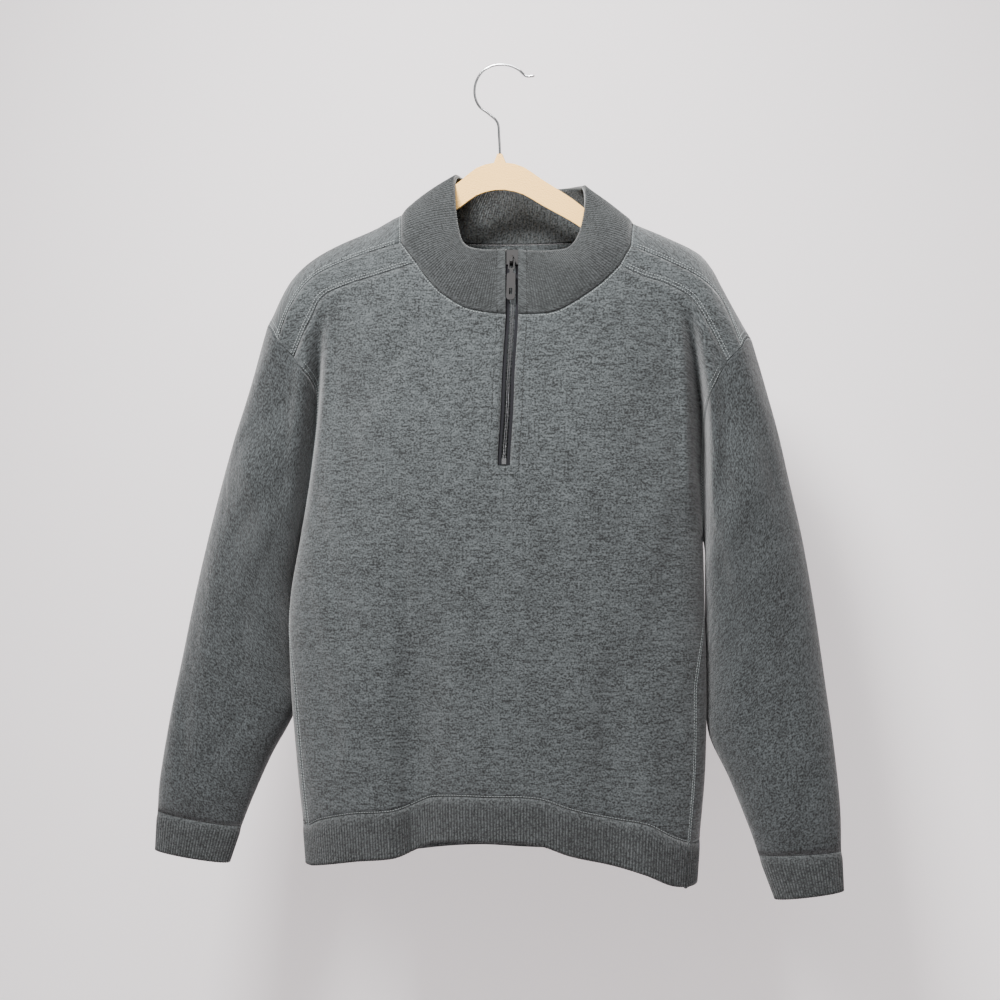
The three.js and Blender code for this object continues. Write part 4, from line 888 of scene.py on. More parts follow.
@dataclass
class Shell:
    """A closed wall of cloth about a grid of middle points."""

    name: str
    thick: float
    grid: Grid
    top_inset: float = SEAM_INSET

    def inset(self) -> Array:
        """The grid's points with its edges drawn in by half a seam."""
        grid = self.grid
        p, n = grid.points, grid.normals
        up_left, up_right, down_left, down_right = grid.quarters()
        moved = p.copy()
        edges = (
            (~up_left & ~up_right, (-1, 0), self.top_inset),
            (~down_left & ~down_right, (1, 0), SEAM_INSET),
            (~up_left & ~down_left, (0, -1), SEAM_INSET),
            (~up_right & ~down_right, (0, 1), SEAM_INSET),
        )
        has_cloth = up_left | up_right | down_left | down_right
        for is_edge, (down, across), size in edges:
            way = np.roll(p, (down, across), axis=(0, 1)) - p
            way = way - (way * n).sum(axis=-1, keepdims=True) * n
            way = way / np.maximum(np.linalg.norm(way, axis=-1, keepdims=True), 1e-6)
            moved = moved + np.where((is_edge & has_cloth)[..., None], way * size, 0)
        return moved

    def faces(self) -> list[list[tuple[int, int, int]]]:
        """The quads as corners of row, column and layer, where a ring's column runs on past its end."""
        grid = self.grid
        up_left, up_right, down_left, down_right = grid.quarters()
        rows, cols = grid.points.shape[:2]
        made = []
        for r in range(rows - 1):
            for c in range(cols if grid.is_ring else cols - 1):
                if not down_right[r, c]:
                    continue
                a, b, d, e = (r, c), (r, c + 1), (r + 1, c + 1), (r + 1, c)
                made.append([(*a, 0), (*b, 0), (*d, 0), (*e, 0)])
                made.append([(*e, 1), (*d, 1), (*b, 1), (*a, 1)])
                if not up_right[r, c]:
                    made.append([(*b, 0), (*a, 0), (*a, 1), (*b, 1)])
                if not down_right[r + 1, c]:
                    made.append([(*e, 0), (*d, 0), (*d, 1), (*e, 1)])
                if not down_left[r, c]:
                    made.append([(*a, 0), (*e, 0), (*e, 1), (*a, 1)])
                if not down_right[r, (c + 1) % cols]:
                    made.append([(*d, 0), (*b, 0), (*b, 1), (*d, 1)])
        return made

    def build(
        self,
        lift: Array | float = 0.0,
        under: Array | float = 0.0,
        painted_rib_shade: Array | float = 0.0,
        inner_painted_rib_shade: Array | float = 0.0,
    ) -> bpy.types.Object:
        """Make the Blender object, smooth, facing out, riding on the sweater.

        Args:
            lift: how far the outer points stand proud.
            under: how far the inner points stand proud.
            painted_rib_shade: how much painted shade each outer point gets, 0 to 1, painted darkest in the
                grooves between ribs.
            inner_painted_rib_shade: the same for the inner points.

        Returns:
            The object.
        """
        p, n = self.inset(), self.grid.normals
        rows, cols = p.shape[:2]
        outer = p + n * (self.thick / 2 + np.broadcast_to(lift, (rows, cols))[..., None])
        inner = p - n * (self.thick / 2 + np.broadcast_to(under, (rows, cols))[..., None])
        places = np.vstack([outer.reshape(-1, 3), inner.reshape(-1, 3)]) * MM
        corners = np.array(self.faces())
        index = corners[..., 2] * rows * cols + corners[..., 0] * cols + corners[..., 1] % cols
        if signed_volume(places, index) < 0:
            corners, index = corners[:, ::-1], index[:, ::-1]
        mesh = bpy.data.meshes.new(self.name)
        mesh.from_pydata(places.tolist(), [], index.tolist())
        layer = mesh.uv_layers.new(name="UVMap")
        # Painted shade: each point's share of the dark shade colour in the grooves between ribs, stored on the
        # mesh for the material
        both = [np.broadcast_to(g, (rows, cols)).ravel() for g in (painted_rib_shade, inner_painted_rib_shade)]
        marks = mesh.attributes.new("painted_rib_shade", "FLOAT", "POINT")
        marks.data.foreach_set("value", np.concatenate(both).astype(np.float32))
        uv = uv_of(self.grid)[corners[..., 0], corners[..., 1]]
        layer.data.foreach_set("uv", uv.astype(np.float32).ravel())
        drop_unused(mesh)
        make_smooth(mesh)
        obj = placed(self.name, mesh)
        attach(obj, "sweater")
        return obj


def placed(name: str, data: bpy.types.ID) -> bpy.types.Object:
    """An object of a mesh, a light or a camera, put in the scene."""
    obj = bpy.data.objects.new(name, data)
    bpy.context.scene.collection.objects.link(obj)
    return obj


def make_smooth(mesh: bpy.types.Mesh) -> None:
    """Shade every face of a mesh smooth."""
    mesh.polygons.foreach_set("use_smooth", [True] * len(mesh.polygons))


def signed_volume(places: Array, faces: Array) -> float:
    """The volume that quads enclose, less than 0 where they face in."""
    q = places[faces]
    first = np.einsum("ij,ij->i", q[:, 0], np.cross(q[:, 1], q[:, 2])).sum()
    return float(first + np.einsum("ij,ij->i", q[:, 0], np.cross(q[:, 2], q[:, 3])).sum())


def drop_unused(mesh: bpy.types.Mesh) -> None:
    """Drop points that no face uses."""
    work = bmesh.new()
    work.from_mesh(mesh)
    loose = [v for v in work.verts if not v.link_faces]
    bmesh.ops.delete(work, geom=loose, context="VERTS")
    work.to_mesh(mesh)
    work.free()


@dataclass
class SeamLine:
    """A line of seam points with their normals."""

    points: Array
    normals: Array
    is_closed: bool = False

    def at(self, shares: Array) -> tuple[Array, Array]:
        """Points and normals at shares of the line's length."""
        p, n = self.points, self.normals
        if self.is_closed:
            p, n = np.vstack([p, p[:1]]), np.vstack([n, n[:1]])
        lengths = along(p)
        want = np.clip(shares, 0, 1) * lengths[-1]
        got = [np.stack([np.interp(want, lengths, x[:, k]) for k in range(3)], axis=1) for x in (p, n)]
        return got[0], got[1] / np.linalg.norm(got[1], axis=1, keepdims=True)

    @property
    def length(self) -> float:
        """The line's length in millimetres."""
        p = np.vstack([self.points, self.points[:1]]) if self.is_closed else self.points
        return float(along(p)[-1])


@dataclass
class Band:
    """A ribbed band that hangs from a seam line."""

    name: str
    line: SeamLine
    sense: int
    thick: float
    rows: int
    first_inset: float
    both_sides: bool = False
    rib_height: float = 0.9
    bow: float = 0.0
    flat_share: float = 0.0
    plain_share: float = 0.0
    # shade: painted shade laid evenly over the whole outer layer, on top of the painted shade in the grooves
    shade: float = 0.0
    SEWN_ROWS = 3
    SOFT_ROWS = 1.5
    RIB_CELLS = 4
    RIB_POWER = 0.6
    # Share of the grooves' painted shade that the inner layer gets, so the inside is painted lighter than the
    # outside
    INNER_PAINTED_SHADE_SHARE = 0.2

    def build(self, foot_of: FootOf) -> tuple[bpy.types.Object, Grid]:
        """Build the band.

        Args:
            foot_of: gives the last row's points from the shares and the first row's points.

        Returns:
            The object and its grid.
        """
        ribs = round(self.line.length / RIB_PITCH)
        is_ring = self.line.is_closed
        cells = ribs * self.RIB_CELLS
        shares = np.arange(cells + (0 if is_ring else 1)) / cells
        start, normal = self.line.at(shares)
        foot = foot_of(shares, start)
        v = even(self.rows)[:, None, None]
        grid = Grid(start[None] * (1 - v) + foot[None] * v, self.sense, is_ring)
        near = np.minimum(shares, 1 - shares)
        swell = self.bow * (smooth(near / self.flat_share) if self.flat_share else 1)
        grid.points = grid.points + grid.normals * (swell * np.sin(np.pi * v[..., 0]))[..., None]
        grid.renew()
        blend = np.exp(-((np.arange(self.rows + 1) / self.SOFT_ROWS) ** 2))[:, None, None]
        grid.normals = grid.normals * (1 - blend) + normal[None] * blend
        grid.normals /= np.linalg.norm(grid.normals, axis=2, keepdims=True)
        wave = (0.5 - 0.5 * np.cos(2 * np.pi * shares * ribs)) ** self.RIB_POWER
        wave = np.where(near < self.plain_share, 1, wave) if self.plain_share else wave
        sewn = 1 - smooth(np.arange(self.rows + 1) / self.SEWN_ROWS)[:, None]
        flat = -(self.thick - CLOTH_THICK) / 2 * sewn
        lift = self.rib_height * wave[None] * (1 - sewn) + flat
        shell = Shell(self.name, self.thick, grid, self.first_inset)
        under = lift if self.both_sides else flat * np.ones_like(lift)
        # Painted shade: dark in the grooves between ribs, over the whole outer layer by shade, and only a
        # small share on the inner layer
        painted_rib_shade = (1 - wave[None]) * (1 - sewn)
        outer_painted_rib_shade = self.shade + (1 - self.shade) * painted_rib_shade
        return shell.build(lift, under, outer_painted_rib_shade, painted_rib_shade * self.INNER_PAINTED_SHADE_SHARE), grid


class Streak(Enum):
    """Which way the heather streaks of a knit run: across its courses or down its wales."""

    ACROSS = (0.3, 1.0)
    DOWN = (1.0, 0.55)


def new_material(name: str) -> tuple[bpy.types.Material, bpy.types.NodeTree, bpy.types.Node]:
    """Make a material and hand over its nodes and its main shader."""
    made = bpy.data.materials.new(name)
    made.use_nodes = True
    return made, made.node_tree, made.node_tree.nodes["Principled BSDF"]


def noise_of(tree: bpy.types.NodeTree, where: Socket, scale: float, detail: float) -> Socket:
    """Add a noise texture and hand over its value."""
    node = tree.nodes.new("ShaderNodeTexNoise")
    node.inputs["Scale"].default_value = scale
    node.inputs["Detail"].default_value = detail
    tree.links.new(where, node.inputs["Vector"])
    return node.outputs["Fac"]


def math_of(tree: bpy.types.NodeTree, kind: str, a: Socket | float, b: Socket | float) -> Socket:
    """Add one arithmetic node and hand over its value."""
    node = tree.nodes.new("ShaderNodeMath")
    node.operation = kind
    for socket, value in zip(node.inputs, (a, b)):
        if isinstance(value, Socket):
            tree.links.new(value, socket)
        else:
            socket.default_value = value
    return node.outputs[0]


@dataclass(frozen=True)
class KnitFinish:
    """A heather knit: two yarn tones mixed in streaks, with a fine stitch relief, and painted shade where the
    mesh marks the grooves between ribs.
    """

    name: str
    dark: tuple[float, float, float]
    light: tuple[float, float, float]
    streak: Streak
    slot: str
    streak_scale: float = 260.0
    # Colour of the painted shade in the grooves between ribs; groove_shade says how far the painted shade goes
    # towards it
    painted_rib_shade: tuple[float, float, float] = (0.01, 0.011, 0.011)
    groove_shade: float = 0.75
    stitch_m: float = 0.0019
    relief_m: float = 0.0006
    crinkle: float = 3.6
    crinkle_scale: float = 85.0
    RAMP_ENDS = (0.57, 0.8)
    FIBRE_SCALE = 480.0
    CLOUD_SCALE = 30.0
    COURSE_SHARE = 0.8
    STITCH_SHARE = 0.25
    BUMP_STRENGTH = 0.8
    SHADER = {
        "Roughness": 0.95,
        "Specular IOR Level": 0.12,
        "Sheen Weight": 0.25,
        "Sheen Roughness": 0.5,
    }

    def make(self) -> bpy.types.Material:
        """Build the material."""
        made, tree, shader = new_material(self.name + "_look")
        uv = tree.nodes.new("ShaderNodeUVMap")
        uv.uv_map = "UVMap"
        squeeze = tree.nodes.new("ShaderNodeMapping")
        squeeze.inputs["Scale"].default_value = (*self.streak.value, 1.0)
        tree.links.new(uv.outputs["UV"], squeeze.inputs["Vector"])
        parts_of_tone = (
            (noise_of(tree, squeeze.outputs["Vector"], self.streak_scale, 3.0), 0.3),
            (noise_of(tree, squeeze.outputs["Vector"], self.streak_scale * 2.7, 2.0), 0.32),
            (noise_of(tree, uv.outputs["UV"], self.FIBRE_SCALE, 2.0), 0.62),
            (noise_of(tree, uv.outputs["UV"], self.CLOUD_SCALE, 3.0), 0.12),
        )
        mixed: Socket | float = 0.0
        for value, weight in parts_of_tone:
            mixed = math_of(tree, "ADD", mixed, math_of(tree, "MULTIPLY", value, weight))
        ramp = tree.nodes.new("ShaderNodeValToRGB")
        for stop, place, tone in zip(ramp.color_ramp.elements, self.RAMP_ENDS, (self.dark, self.light)):
            stop.position, stop.color = place, (*tone, 1)
        tree.links.new(mixed, ramp.inputs["Fac"])
        # Painted shade: the tones are mixed towards the dark shade colour where the mesh marks the grooves
        # between ribs
        painted_rib_shade = tree.nodes.new("ShaderNodeAttribute")
        painted_rib_shade.attribute_name = "painted_rib_shade"
        shade = tree.nodes.new("ShaderNodeMix")
        shade.data_type = "RGBA"
        how_much = math_of(tree, "MULTIPLY", painted_rib_shade.outputs["Fac"], self.groove_shade)
        tree.links.new(how_much, shade.inputs["Factor"])
        tree.links.new(ramp.outputs["Color"], shade.inputs[6])
        shade.inputs[7].default_value = (*self.painted_rib_shade, 1)
        tree.links.new(shade.outputs[2], shader.inputs["Base Color"])
        parts = tree.nodes.new("ShaderNodeSeparateXYZ")
        tree.links.new(uv.outputs["UV"], parts.inputs["Vector"])
        waves = []
        for axis, pitch in (("X", self.stitch_m), ("Y", self.stitch_m * self.COURSE_SHARE)):
            turned = math_of(tree, "MULTIPLY", parts.outputs[axis], 2 * math.pi / pitch)
            waves.append(math_of(tree, "SINE", turned, 0.0))
        knit = math_of(tree, "MULTIPLY", waves[0], waves[1])
        relief = math_of(tree, "ADD", math_of(tree, "MULTIPLY", knit, self.STITCH_SHARE), mixed)
        crinkle = noise_of(tree, uv.outputs["UV"], self.crinkle_scale, 3.0)
        relief = math_of(tree, "ADD", relief, math_of(tree, "MULTIPLY", crinkle, self.crinkle))
        bump = tree.nodes.new("ShaderNodeBump")
        bump.inputs["Distance"].default_value = self.relief_m
        bump.inputs["Strength"].default_value = self.BUMP_STRENGTH
        tree.links.new(relief, bump.inputs["Height"])
        tree.links.new(bump.outputs["Normal"], shader.inputs["Normal"])
        for name, value in self.SHADER.items():
            shader.inputs[name].default_value = value
        return made


@dataclass(frozen=True)
class PlainFinish:
    """One colour with a roughness, and a fine grain where grain_m is more than 0."""

    name: str
    color: tuple[float, float, float]
    roughness: float
    slot: str
    metallic: float = 0.0
    sheen: float = 0.0
    specular: float = 0.5
    grain_m: float = 0.0
    grain_scale: float = 900.0

    def make(self) -> bpy.types.Material:
        """Build the material."""
        made, tree, shader = new_material(self.name + "_look")
        shader.inputs["Base Color"].default_value = (*self.color, 1)
        shader.inputs["Roughness"].default_value = self.roughness
        shader.inputs["Metallic"].default_value = self.metallic
        shader.inputs["Sheen Weight"].default_value = self.sheen
        shader.inputs["Specular IOR Level"].default_value = self.specular
        if self.grain_m:
            where = tree.nodes.new("ShaderNodeTexCoord").outputs["Object"]
            bump = tree.nodes.new("ShaderNodeBump")
            bump.inputs["Distance"].default_value = self.grain_m
            tree.links.new(noise_of(tree, where, self.grain_scale, 2.0), bump.inputs["Height"])
            tree.links.new(bump.outputs["Normal"], shader.inputs["Normal"])
        return made


BODY_KNIT = KnitFinish(
    "body_knit", (0.0125, 0.0133, 0.0135), (0.076, 0.085, 0.0875), Streak.ACROSS, "body_knit"
)
# The body's yarn with its streaks running down the sleeve, and both tones painted darker as shade, since the
# sleeves face away from the light
SHADED_SLEEVE_KNIT = KnitFinish(
    "shaded_sleeve_knit", (0.01, 0.0106, 0.0107), (0.06, 0.067, 0.0695), Streak.DOWN, "body_knit"
)
RIB_KNIT = KnitFinish(
    "rib_knit",
    (0.016, 0.017, 0.017),
    (0.082, 0.089, 0.091),
    Streak.DOWN,
    "rib_knit",
    groove_shade=0.85,
    crinkle=0.5,
)
THREAD = PlainFinish("thread", (0.26, 0.285, 0.285), 0.9, "body_knit")
TAPE = PlainFinish("zip_tape", (0.012, 0.012, 0.014), 0.9, "zip_tape", grain_m=0.0002, specular=0.1)
GUNMETAL = PlainFinish("zip_metal", (0.014, 0.013, 0.013), 0.5, "zip_metal", specular=0.12)
TEETH = PlainFinish("zip_teeth", (0.16, 0.16, 0.165), 0.35, "zip_metal", metallic=0.9)
SOFT_THREAD = PlainFinish("soft_thread", (0.016, 0.017, 0.017), 0.95, "body_knit")
PAINTED_EDGE_HIGHLIGHT = PlainFinish("painted_edge_highlight", (0.17, 0.175, 0.172), 0.9, "rib_knit")
# Painted highlight: the pale colour of the beads along the collar's top edge, standing for light caught on the
# fold
BRIGHT = PlainFinish("zip_stop", (0.8, 0.81, 0.83), 0.22, "zip_stop", metallic=1.0)
FLOCK = PlainFinish(
    "hanger_flock", (1.0, 0.6, 0.19), 0.95, "hanger_flock", grain_m=0.0009, grain_scale=700.0
)
STEEL = PlainFinish("hook_steel", (0.62, 0.63, 0.64), 0.16, "hook_steel", metallic=1.0)


class Palette:
    """The materials, each made once."""

    def __init__(self) -> None:
        """Start with none made."""
        self.made: dict[str, bpy.types.Material] = {}

    def material(self, finish: KnitFinish | PlainFinish) -> bpy.types.Material:
        """The material of a finish."""
        if finish.name not in self.made:
            self.made[finish.name] = finish.make()
        return self.made[finish.name]

    def dress(self, obj: bpy.types.Object, finish: KnitFinish | PlainFinish) -> None:
        """Give an object one finish."""
        made = self.material(finish)
        if obj.data.materials:
            for i in range(len(obj.data.materials)):
                obj.data.materials[i] = made
        else:
            obj.data.materials.append(made)


@dataclass(frozen=True)
class Cut:
    """The flat size a cloth piece was cut to, in metres and square metres."""

    width: float
    length: float
    area: float


class Panels:
    """The six panels of smooth knit: front, back, two shoulder strips and two sleeves."""

    ROW_POWER = 1.25
    LOOP_SHARE = 0.22
    TURN_UNIT = 60
    DOWN_UNIT = 400
    CUTS = {
        "front_body": Cut(0.50, 0.63, 0.273),
        "back_body": Cut(0.60, 0.76, 0.362),
        "left_shoulder_strip": Cut(0.20, 0.033, 0.0055),
        "right_shoulder_strip": Cut(0.18, 0.033, 0.0047),
        "left_sleeve": Cut(0.40, 0.58, 0.158),
        "right_sleeve": Cut(0.39, 0.58, 0.157),
    }

    def __init__(self) -> None:
        """Lay out the grids, set the creases in and share the seams' normals."""
        notch = np.zeros((ARMHOLE + SIDE, 2 * HALF + 2), bool)
        notch[:NOTCH_ROWS, HALF : HALF + 2] = True
        self.front = Grid(front_points(front_pairs()), -1, hole=notch, is_level=True)
        neck = np.zeros((YOKE + BACK_ARMHOLE + SIDE, 2 * SEAM + BACK_NECK), bool)
        neck[:YOKE, SEAM : SEAM + BACK_NECK] = True
        self.back = Grid(back_points(back_pairs()), 1, hole=neck, is_level=True)
        self.strips = {
            side: Grid(front_points(strip_pairs(side)), side, is_level=True) for side in (-1, 1)
        }
        for grid, marks in ((self.front, FRONT_CREASES), (self.back, BACK_CREASES)):
            grid.sink(depth_of(marks, grid.points[..., 0], grid.points[..., 2]))
        self.sleeves = {side: self.sleeve(side) for side in (-1, 1)}
        grids = [self.front, self.back, *self.strips.values(), *self.sleeves.values()]
        for grid in grids:
            grid.points = pressed(grid.points)
            grid.renew()
        share_normals(grids)

    def sleeve(self, side: int) -> Grid:
        """The grid of one sleeve, from the armhole's loop to the cuff."""
        col = 0 if side < 0 else -1
        back = self.back.points[: YOKE + BACK_ARMHOLE + 1, col][::-1]
        strip = self.strips[side].points[:, 0]
        front = self.front.points[: ARMHOLE + 1, col]
        loop = np.vstack([back, strip[1:], front[1:-1]])
        turns = loop_turns(loop)
        t = even(SLEEVE) ** self.ROW_POWER
        table = SLEEVES[side]
        keep = (1 - smooth(t / self.LOOP_SHARE))[:, None, None]
        shift = loop - oval(sleeve_rows(table, np.zeros(1)), turns[None])[0]
        grid = Grid(oval(sleeve_rows(table, t), turns[None]) + shift[None] * keep, side, is_ring=True)
        round_and_down = np.broadcast_arrays(turns[None] * self.TURN_UNIT, t[:, None] * self.DOWN_UNIT)
        grid.sink(depth_of(SLEEVE_CREASES[side], *round_and_down))
        return grid

    def build(self, palette: Palette) -> None:
        """Make the six pieces."""
        grids = {
            "front_body": self.front,
            "back_body": self.back,
            "left_shoulder_strip": self.strips[-1],
            "right_shoulder_strip": self.strips[1],
            "left_sleeve": self.sleeves[-1],
            "right_sleeve": self.sleeves[1],
        }
        for name, grid in grids.items():
            inset = BENT_SEAM_INSET if grid.is_ring else SEAM_INSET
            obj = Shell(name + "_cloth", CLOTH_THICK, grid, inset).build()
            # the sleeves get the knit with painted shade: darker tones than the body's
            palette.dress(obj, SHADED_SLEEVE_KNIT if "sleeve" in name else BODY_KNIT)
            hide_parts(name)
            log.info("%s: %d faces", obj.name, len(obj.data.polygons))


class Bands:
    """The ribbed hem band, the cuffs and the collar."""

    HEM_ROWS = 12
    CUFF_ROWS = 12
    COLLAR_ROWS = 22
    HEM_DRAW_X = 0.985
    HEM_DRAW_Y = 0.93
    HEM_BLEND_Y = -30.0
    HEM_BLEND_RUN = 40.0
    CUTS = {
        "hem_rib": Cut(1.02, 0.055, 0.0547),
        "left_cuff": Cut(0.22, 0.05, 0.0103),
        "right_cuff": Cut(0.21, 0.05, 0.01),
        "collar": Cut(0.65, 0.085, 0.0488),
    }

    def __init__(self, panels: Panels) -> None:
        """Keep the panels that the bands hang from."""
        self.panels = panels
        self.grids: dict[str, Grid] = {}
        self.lines: dict[str, SeamLine] = {}

    def finish(self, palette: Palette, name: str, band: Band, foot_of: FootOf) -> None:
        obj, self.grids[name] = band.build(foot_of)
        self.lines[name] = band.line
        palette.dress(obj, RIB_KNIT)
        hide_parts(name)
        log.info("%s: %d faces", obj.name, len(obj.data.polygons))

    def build_hem(self, palette: Palette) -> None:
        """The hem band, round the foot of the front and the back."""
        front, back = self.panels.front, self.panels.back
        points = np.vstack([front.points[-1], back.points[-1][::-1][1:-1]])
        normals = np.vstack([front.normals[-1], back.normals[-1][::-1][1:-1]])

        def foot_of(_: Array, start: Array) -> Array:
            """The band's lower edge."""
            x, y, z = start.T
            tables = (HEM_FRONT, HEM_BACK)
            drops = [table.at("x", "seam", x) - table.at("x", "foot", x) for table in tables]
            behind = smooth((y - self.HEM_BLEND_Y) / self.HEM_BLEND_RUN)
            low = z - drops[0] * (1 - behind) - drops[1] * behind
            return np.stack([x * self.HEM_DRAW_X, y * self.HEM_DRAW_Y, low], axis=1)

        line = SeamLine(points, normals, True)
        band = Band("hem_rib_cloth", line, -1, RIB_THICK, self.HEM_ROWS, 0.25)
        self.finish(palette, "hem_rib", band, foot_of)

    def build_cuff(self, palette: Palette, side: int) -> None:
        """One cuff, round the foot of its sleeve."""
        sleeve = self.panels.sleeves[side]
        word = "left" if side < 0 else "right"
        turns = loop_turns(sleeve.points[0])
        feet = SeamLine(oval(CUFF_FEET[side], turns), sleeve.normals[-1], True)
        line = SeamLine(sleeve.points[-1], sleeve.normals[-1], True)
        band = Band(word + "_cuff_cloth", line, side, RIB_THICK, self.CUFF_ROWS, 0.3)
        self.finish(palette, word + "_cuff", band, lambda shares, _: feet.at(shares)[0])

    def neck_line(self) -> SeamLine:
        """The neck seam from the right of the zip round the back to its left."""
        p = self.panels
        right = HALF + 2

        def gather(of: Callable[[Grid], Array]) -> Array:
            """Join the panels' neck edges in order."""
            front, back = of(p.front), of(p.back)
            return np.vstack(
                [
                    front[0, right : right + NECK + 1],
                    of(p.strips[1])[:, -1][::-1][1:],
                    back[1:YOKE, SEAM + BACK_NECK],
                    back[YOKE, SEAM : SEAM + BACK_NECK + 1][::-1],
                    back[:YOKE, SEAM][::-1],
                    of(p.strips[-1])[1:, -1],
                    front[0, SEAM : HALF + 1][1:],
                ]
            )

        return SeamLine(gather(lambda grid: grid.points), gather(lambda grid: grid.normals))

    def build_collar(self, palette: Palette) -> None:
        """The stand collar, up from the neck seam and open at the zip."""
        band = Band(
            "collar_cloth",
            self.neck_line(),
            1,
            COLLAR_THICK,
            self.COLLAR_ROWS,
            0.35,
            both_sides=True,
            rib_height=0.8,
            bow=COLLAR_BULGE,
            flat_share=COLLAR_FLAT_SHARE,
            plain_share=COLLAR_PLAIN_SHARE,
            # painted shade over the collar's outer layer
            shade=0.5,
        )

        def top_of(shares: Array, _: Array) -> Array:
            """The collar's top edge."""
            return np.stack([COLLAR_TOP.at("t", name, shares) for name in "xyz"], axis=1)

        self.finish(palette, "collar", band, top_of)


def tube(name: str, path: Array, radius: float, sides: int) -> bpy.types.Object:
    """A closed round tube along a path in the plane y = 0, with domed ends.

    Args:
        name: the piece's name.
        path: points of its middle, in millimetres.
        radius: its radius in millimetres.
        sides: points round it.

    Returns:
        The object.
    """
    way = np.gradient(path, axis=0)
    way /= np.linalg.norm(way, axis=1, keepdims=True)
    side = np.stack([way[:, 2], np.zeros(len(way)), -way[:, 0]], axis=1)
    turn = 2 * np.pi * np.arange(sides) / sides
    rings = [(point, radius, i) for i, point in enumerate(path)]
    for step in (0.5, 0.85):
        shrink = radius * math.sqrt(1 - step**2)
        rings.insert(0, (path[0] - way[0] * radius * step, shrink, 0))
        rings.append((path[-1] + way[-1] * radius * step, shrink, -1))
    points = []
    for centre, size, i in rings:
        ring = np.cos(turn)[:, None] * side[i] + np.sin(turn)[:, None] * np.array([0.0, 1.0, 0.0])
        points.append(centre + ring * size)
    last = (len(rings) - 1) * sides
    faces = []
    for k in range(0, last, sides):
        for c in range(sides):
            d = (c + 1) % sides
            faces.append((k + c, k + d, k + sides + d, k + sides + c))
    faces += [tuple(range(sides))[::-1], tuple(last + c for c in range(sides))]
    mesh = bpy.data.meshes.new(name)
    mesh.from_pydata([tuple(p * MM) for p in np.vstack(points)], [], faces)
    work = bmesh.new()
    work.from_mesh(mesh)
    bmesh.ops.recalc_face_normals(work, faces=work.faces)
    work.to_mesh(mesh)
    work.free()
    make_smooth(mesh)
    return placed(name, mesh)


@dataclass
class Repeats:
    """Copies of one small form along lines, laid by Geometry Nodes."""

    name: str
    size: tuple[float, float, float]
    pitch: float
    body: str = "sweater"

    def form(self) -> bpy.types.Object:
        """One small rounded bar along +Z, which the lines repeat."""
        work = bmesh.new()
        bmesh.ops.create_icosphere(work, subdivisions=1, radius=0.5)
        for vert in work.verts:
            vert.co = Vector(c * s * MM for c, s in zip(vert.co, self.size))
        mesh = bpy.data.meshes.new(self.name + "_form")
        work.to_mesh(mesh)
        work.free()
        make_smooth(mesh)
        return bpy.data.objects.new(self.name + "_form", mesh)

    def tree(self) -> tuple[bpy.types.NodeTree, dict[str, str]]:
        """The node group, and the identifiers of its named inputs."""
        group = bpy.data.node_groups.new(self.name + "_nodes", "GeometryNodeTree")
        face = group.interface
        face.new_socket("Geometry", in_out="INPUT", socket_type="NodeSocketGeometry")
        names = {}
        for name, kind in (("Pitch", "Float"), ("Form", "Object"), ("Finish", "Material")):
            socket = face.new_socket(name, in_out="INPUT", socket_type="NodeSocket" + kind)
            names[name] = socket.identifier
        face.new_socket("Geometry", in_out="OUTPUT", socket_type="NodeSocketGeometry")
        add = group.nodes.new
        given, result = add("NodeGroupInput"), add("NodeGroupOutput")
        curve, points = add("GeometryNodeMeshToCurve"), add("GeometryNodeCurveToPoints")
        points.mode = "LENGTH"
        info, copies = add("GeometryNodeObjectInfo"), add("GeometryNodeInstanceOnPoints")
        turn = add("FunctionNodeAlignRotationToVector")
        turn.axis = "Z"
        whole, finish = add("GeometryNodeRealizeInstances"), add("GeometryNodeSetMaterial")
        wires = (
            (given, "Geometry", curve, "Mesh"),
            (curve, "Curve", points, "Curve"),
            (given, "Pitch", points, "Length"),
            (given, "Form", info, "Object"),
            (points, "Points", copies, "Points"),
            (info, "Geometry", copies, "Instance"),
            (points, "Tangent", turn, "Vector"),
            (turn, "Rotation", copies, "Rotation"),
            (copies, "Instances", whole, "Geometry"),
            (whole, "Geometry", finish, "Geometry"),
            (given, "Finish", finish, "Material"),
            (finish, "Geometry", result, "Geometry"),
        )
        for source, output, target, entry in wires:
            group.links.new(source.outputs[output], target.inputs[entry])
        return group, names

    def build(self, lines: Sequence[Array], material: bpy.types.Material) -> bpy.types.Object:
        """Lay the copies along the lines and make them one mesh.

        Args:
            lines: each a row of points in millimetres.
            material: what the copies are made of.

        Returns:
            The finished object, riding on its body.
        """
        mesh = bpy.data.meshes.new(self.name + "_lines")
        edges, first = [], 0
        for line in lines:
            edges += [(first + i, first + i + 1) for i in range(len(line) - 1)]
            first += len(line)
        mesh.from_pydata([tuple(p * MM) for p in np.vstack(lines)], edges, [])
        carrier = placed(self.name + "_carrier", mesh)
        group, names = self.tree()
        form = self.form()
        modifier = carrier.modifiers.new("repeats", "NODES")
        modifier.node_group = group
        modifier[names["Pitch"]] = self.pitch * MM
        modifier[names["Form"]] = form
        modifier[names["Finish"]] = material
        graph = bpy.context.evaluated_depsgraph_get()
        made = bpy.data.meshes.new_from_object(carrier.evaluated_get(graph))
        made.name = self.name
        obj = placed(self.name, made)
        for used in (carrier, form):
            bpy.data.objects.remove(used)
        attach(obj, self.body)
        return obj


def beside(points: Array, normals: Array, distance: float, proud: float) -> Array:
    """A line on the cloth that keeps its distance from an edge.

    Args:
        points: for each place along the edge, points from the edge inwards.
        normals: their normals.
        distance: how far from the edge, along the cloth.
        proud: how far above the cloth's middle layer.

    Returns:
        The line's points.
    """
    made = []
    for row, normal in zip(points, normals):
        lengths = along(row)
        at = [np.interp(distance, lengths, row[:, k]) for k in range(3)]
        out = [np.interp(distance, lengths, normal[:, k]) for k in range(3)]
        made.append(np.array(at) + np.array(out) / np.linalg.norm(out) * proud)
    return np.array(made)


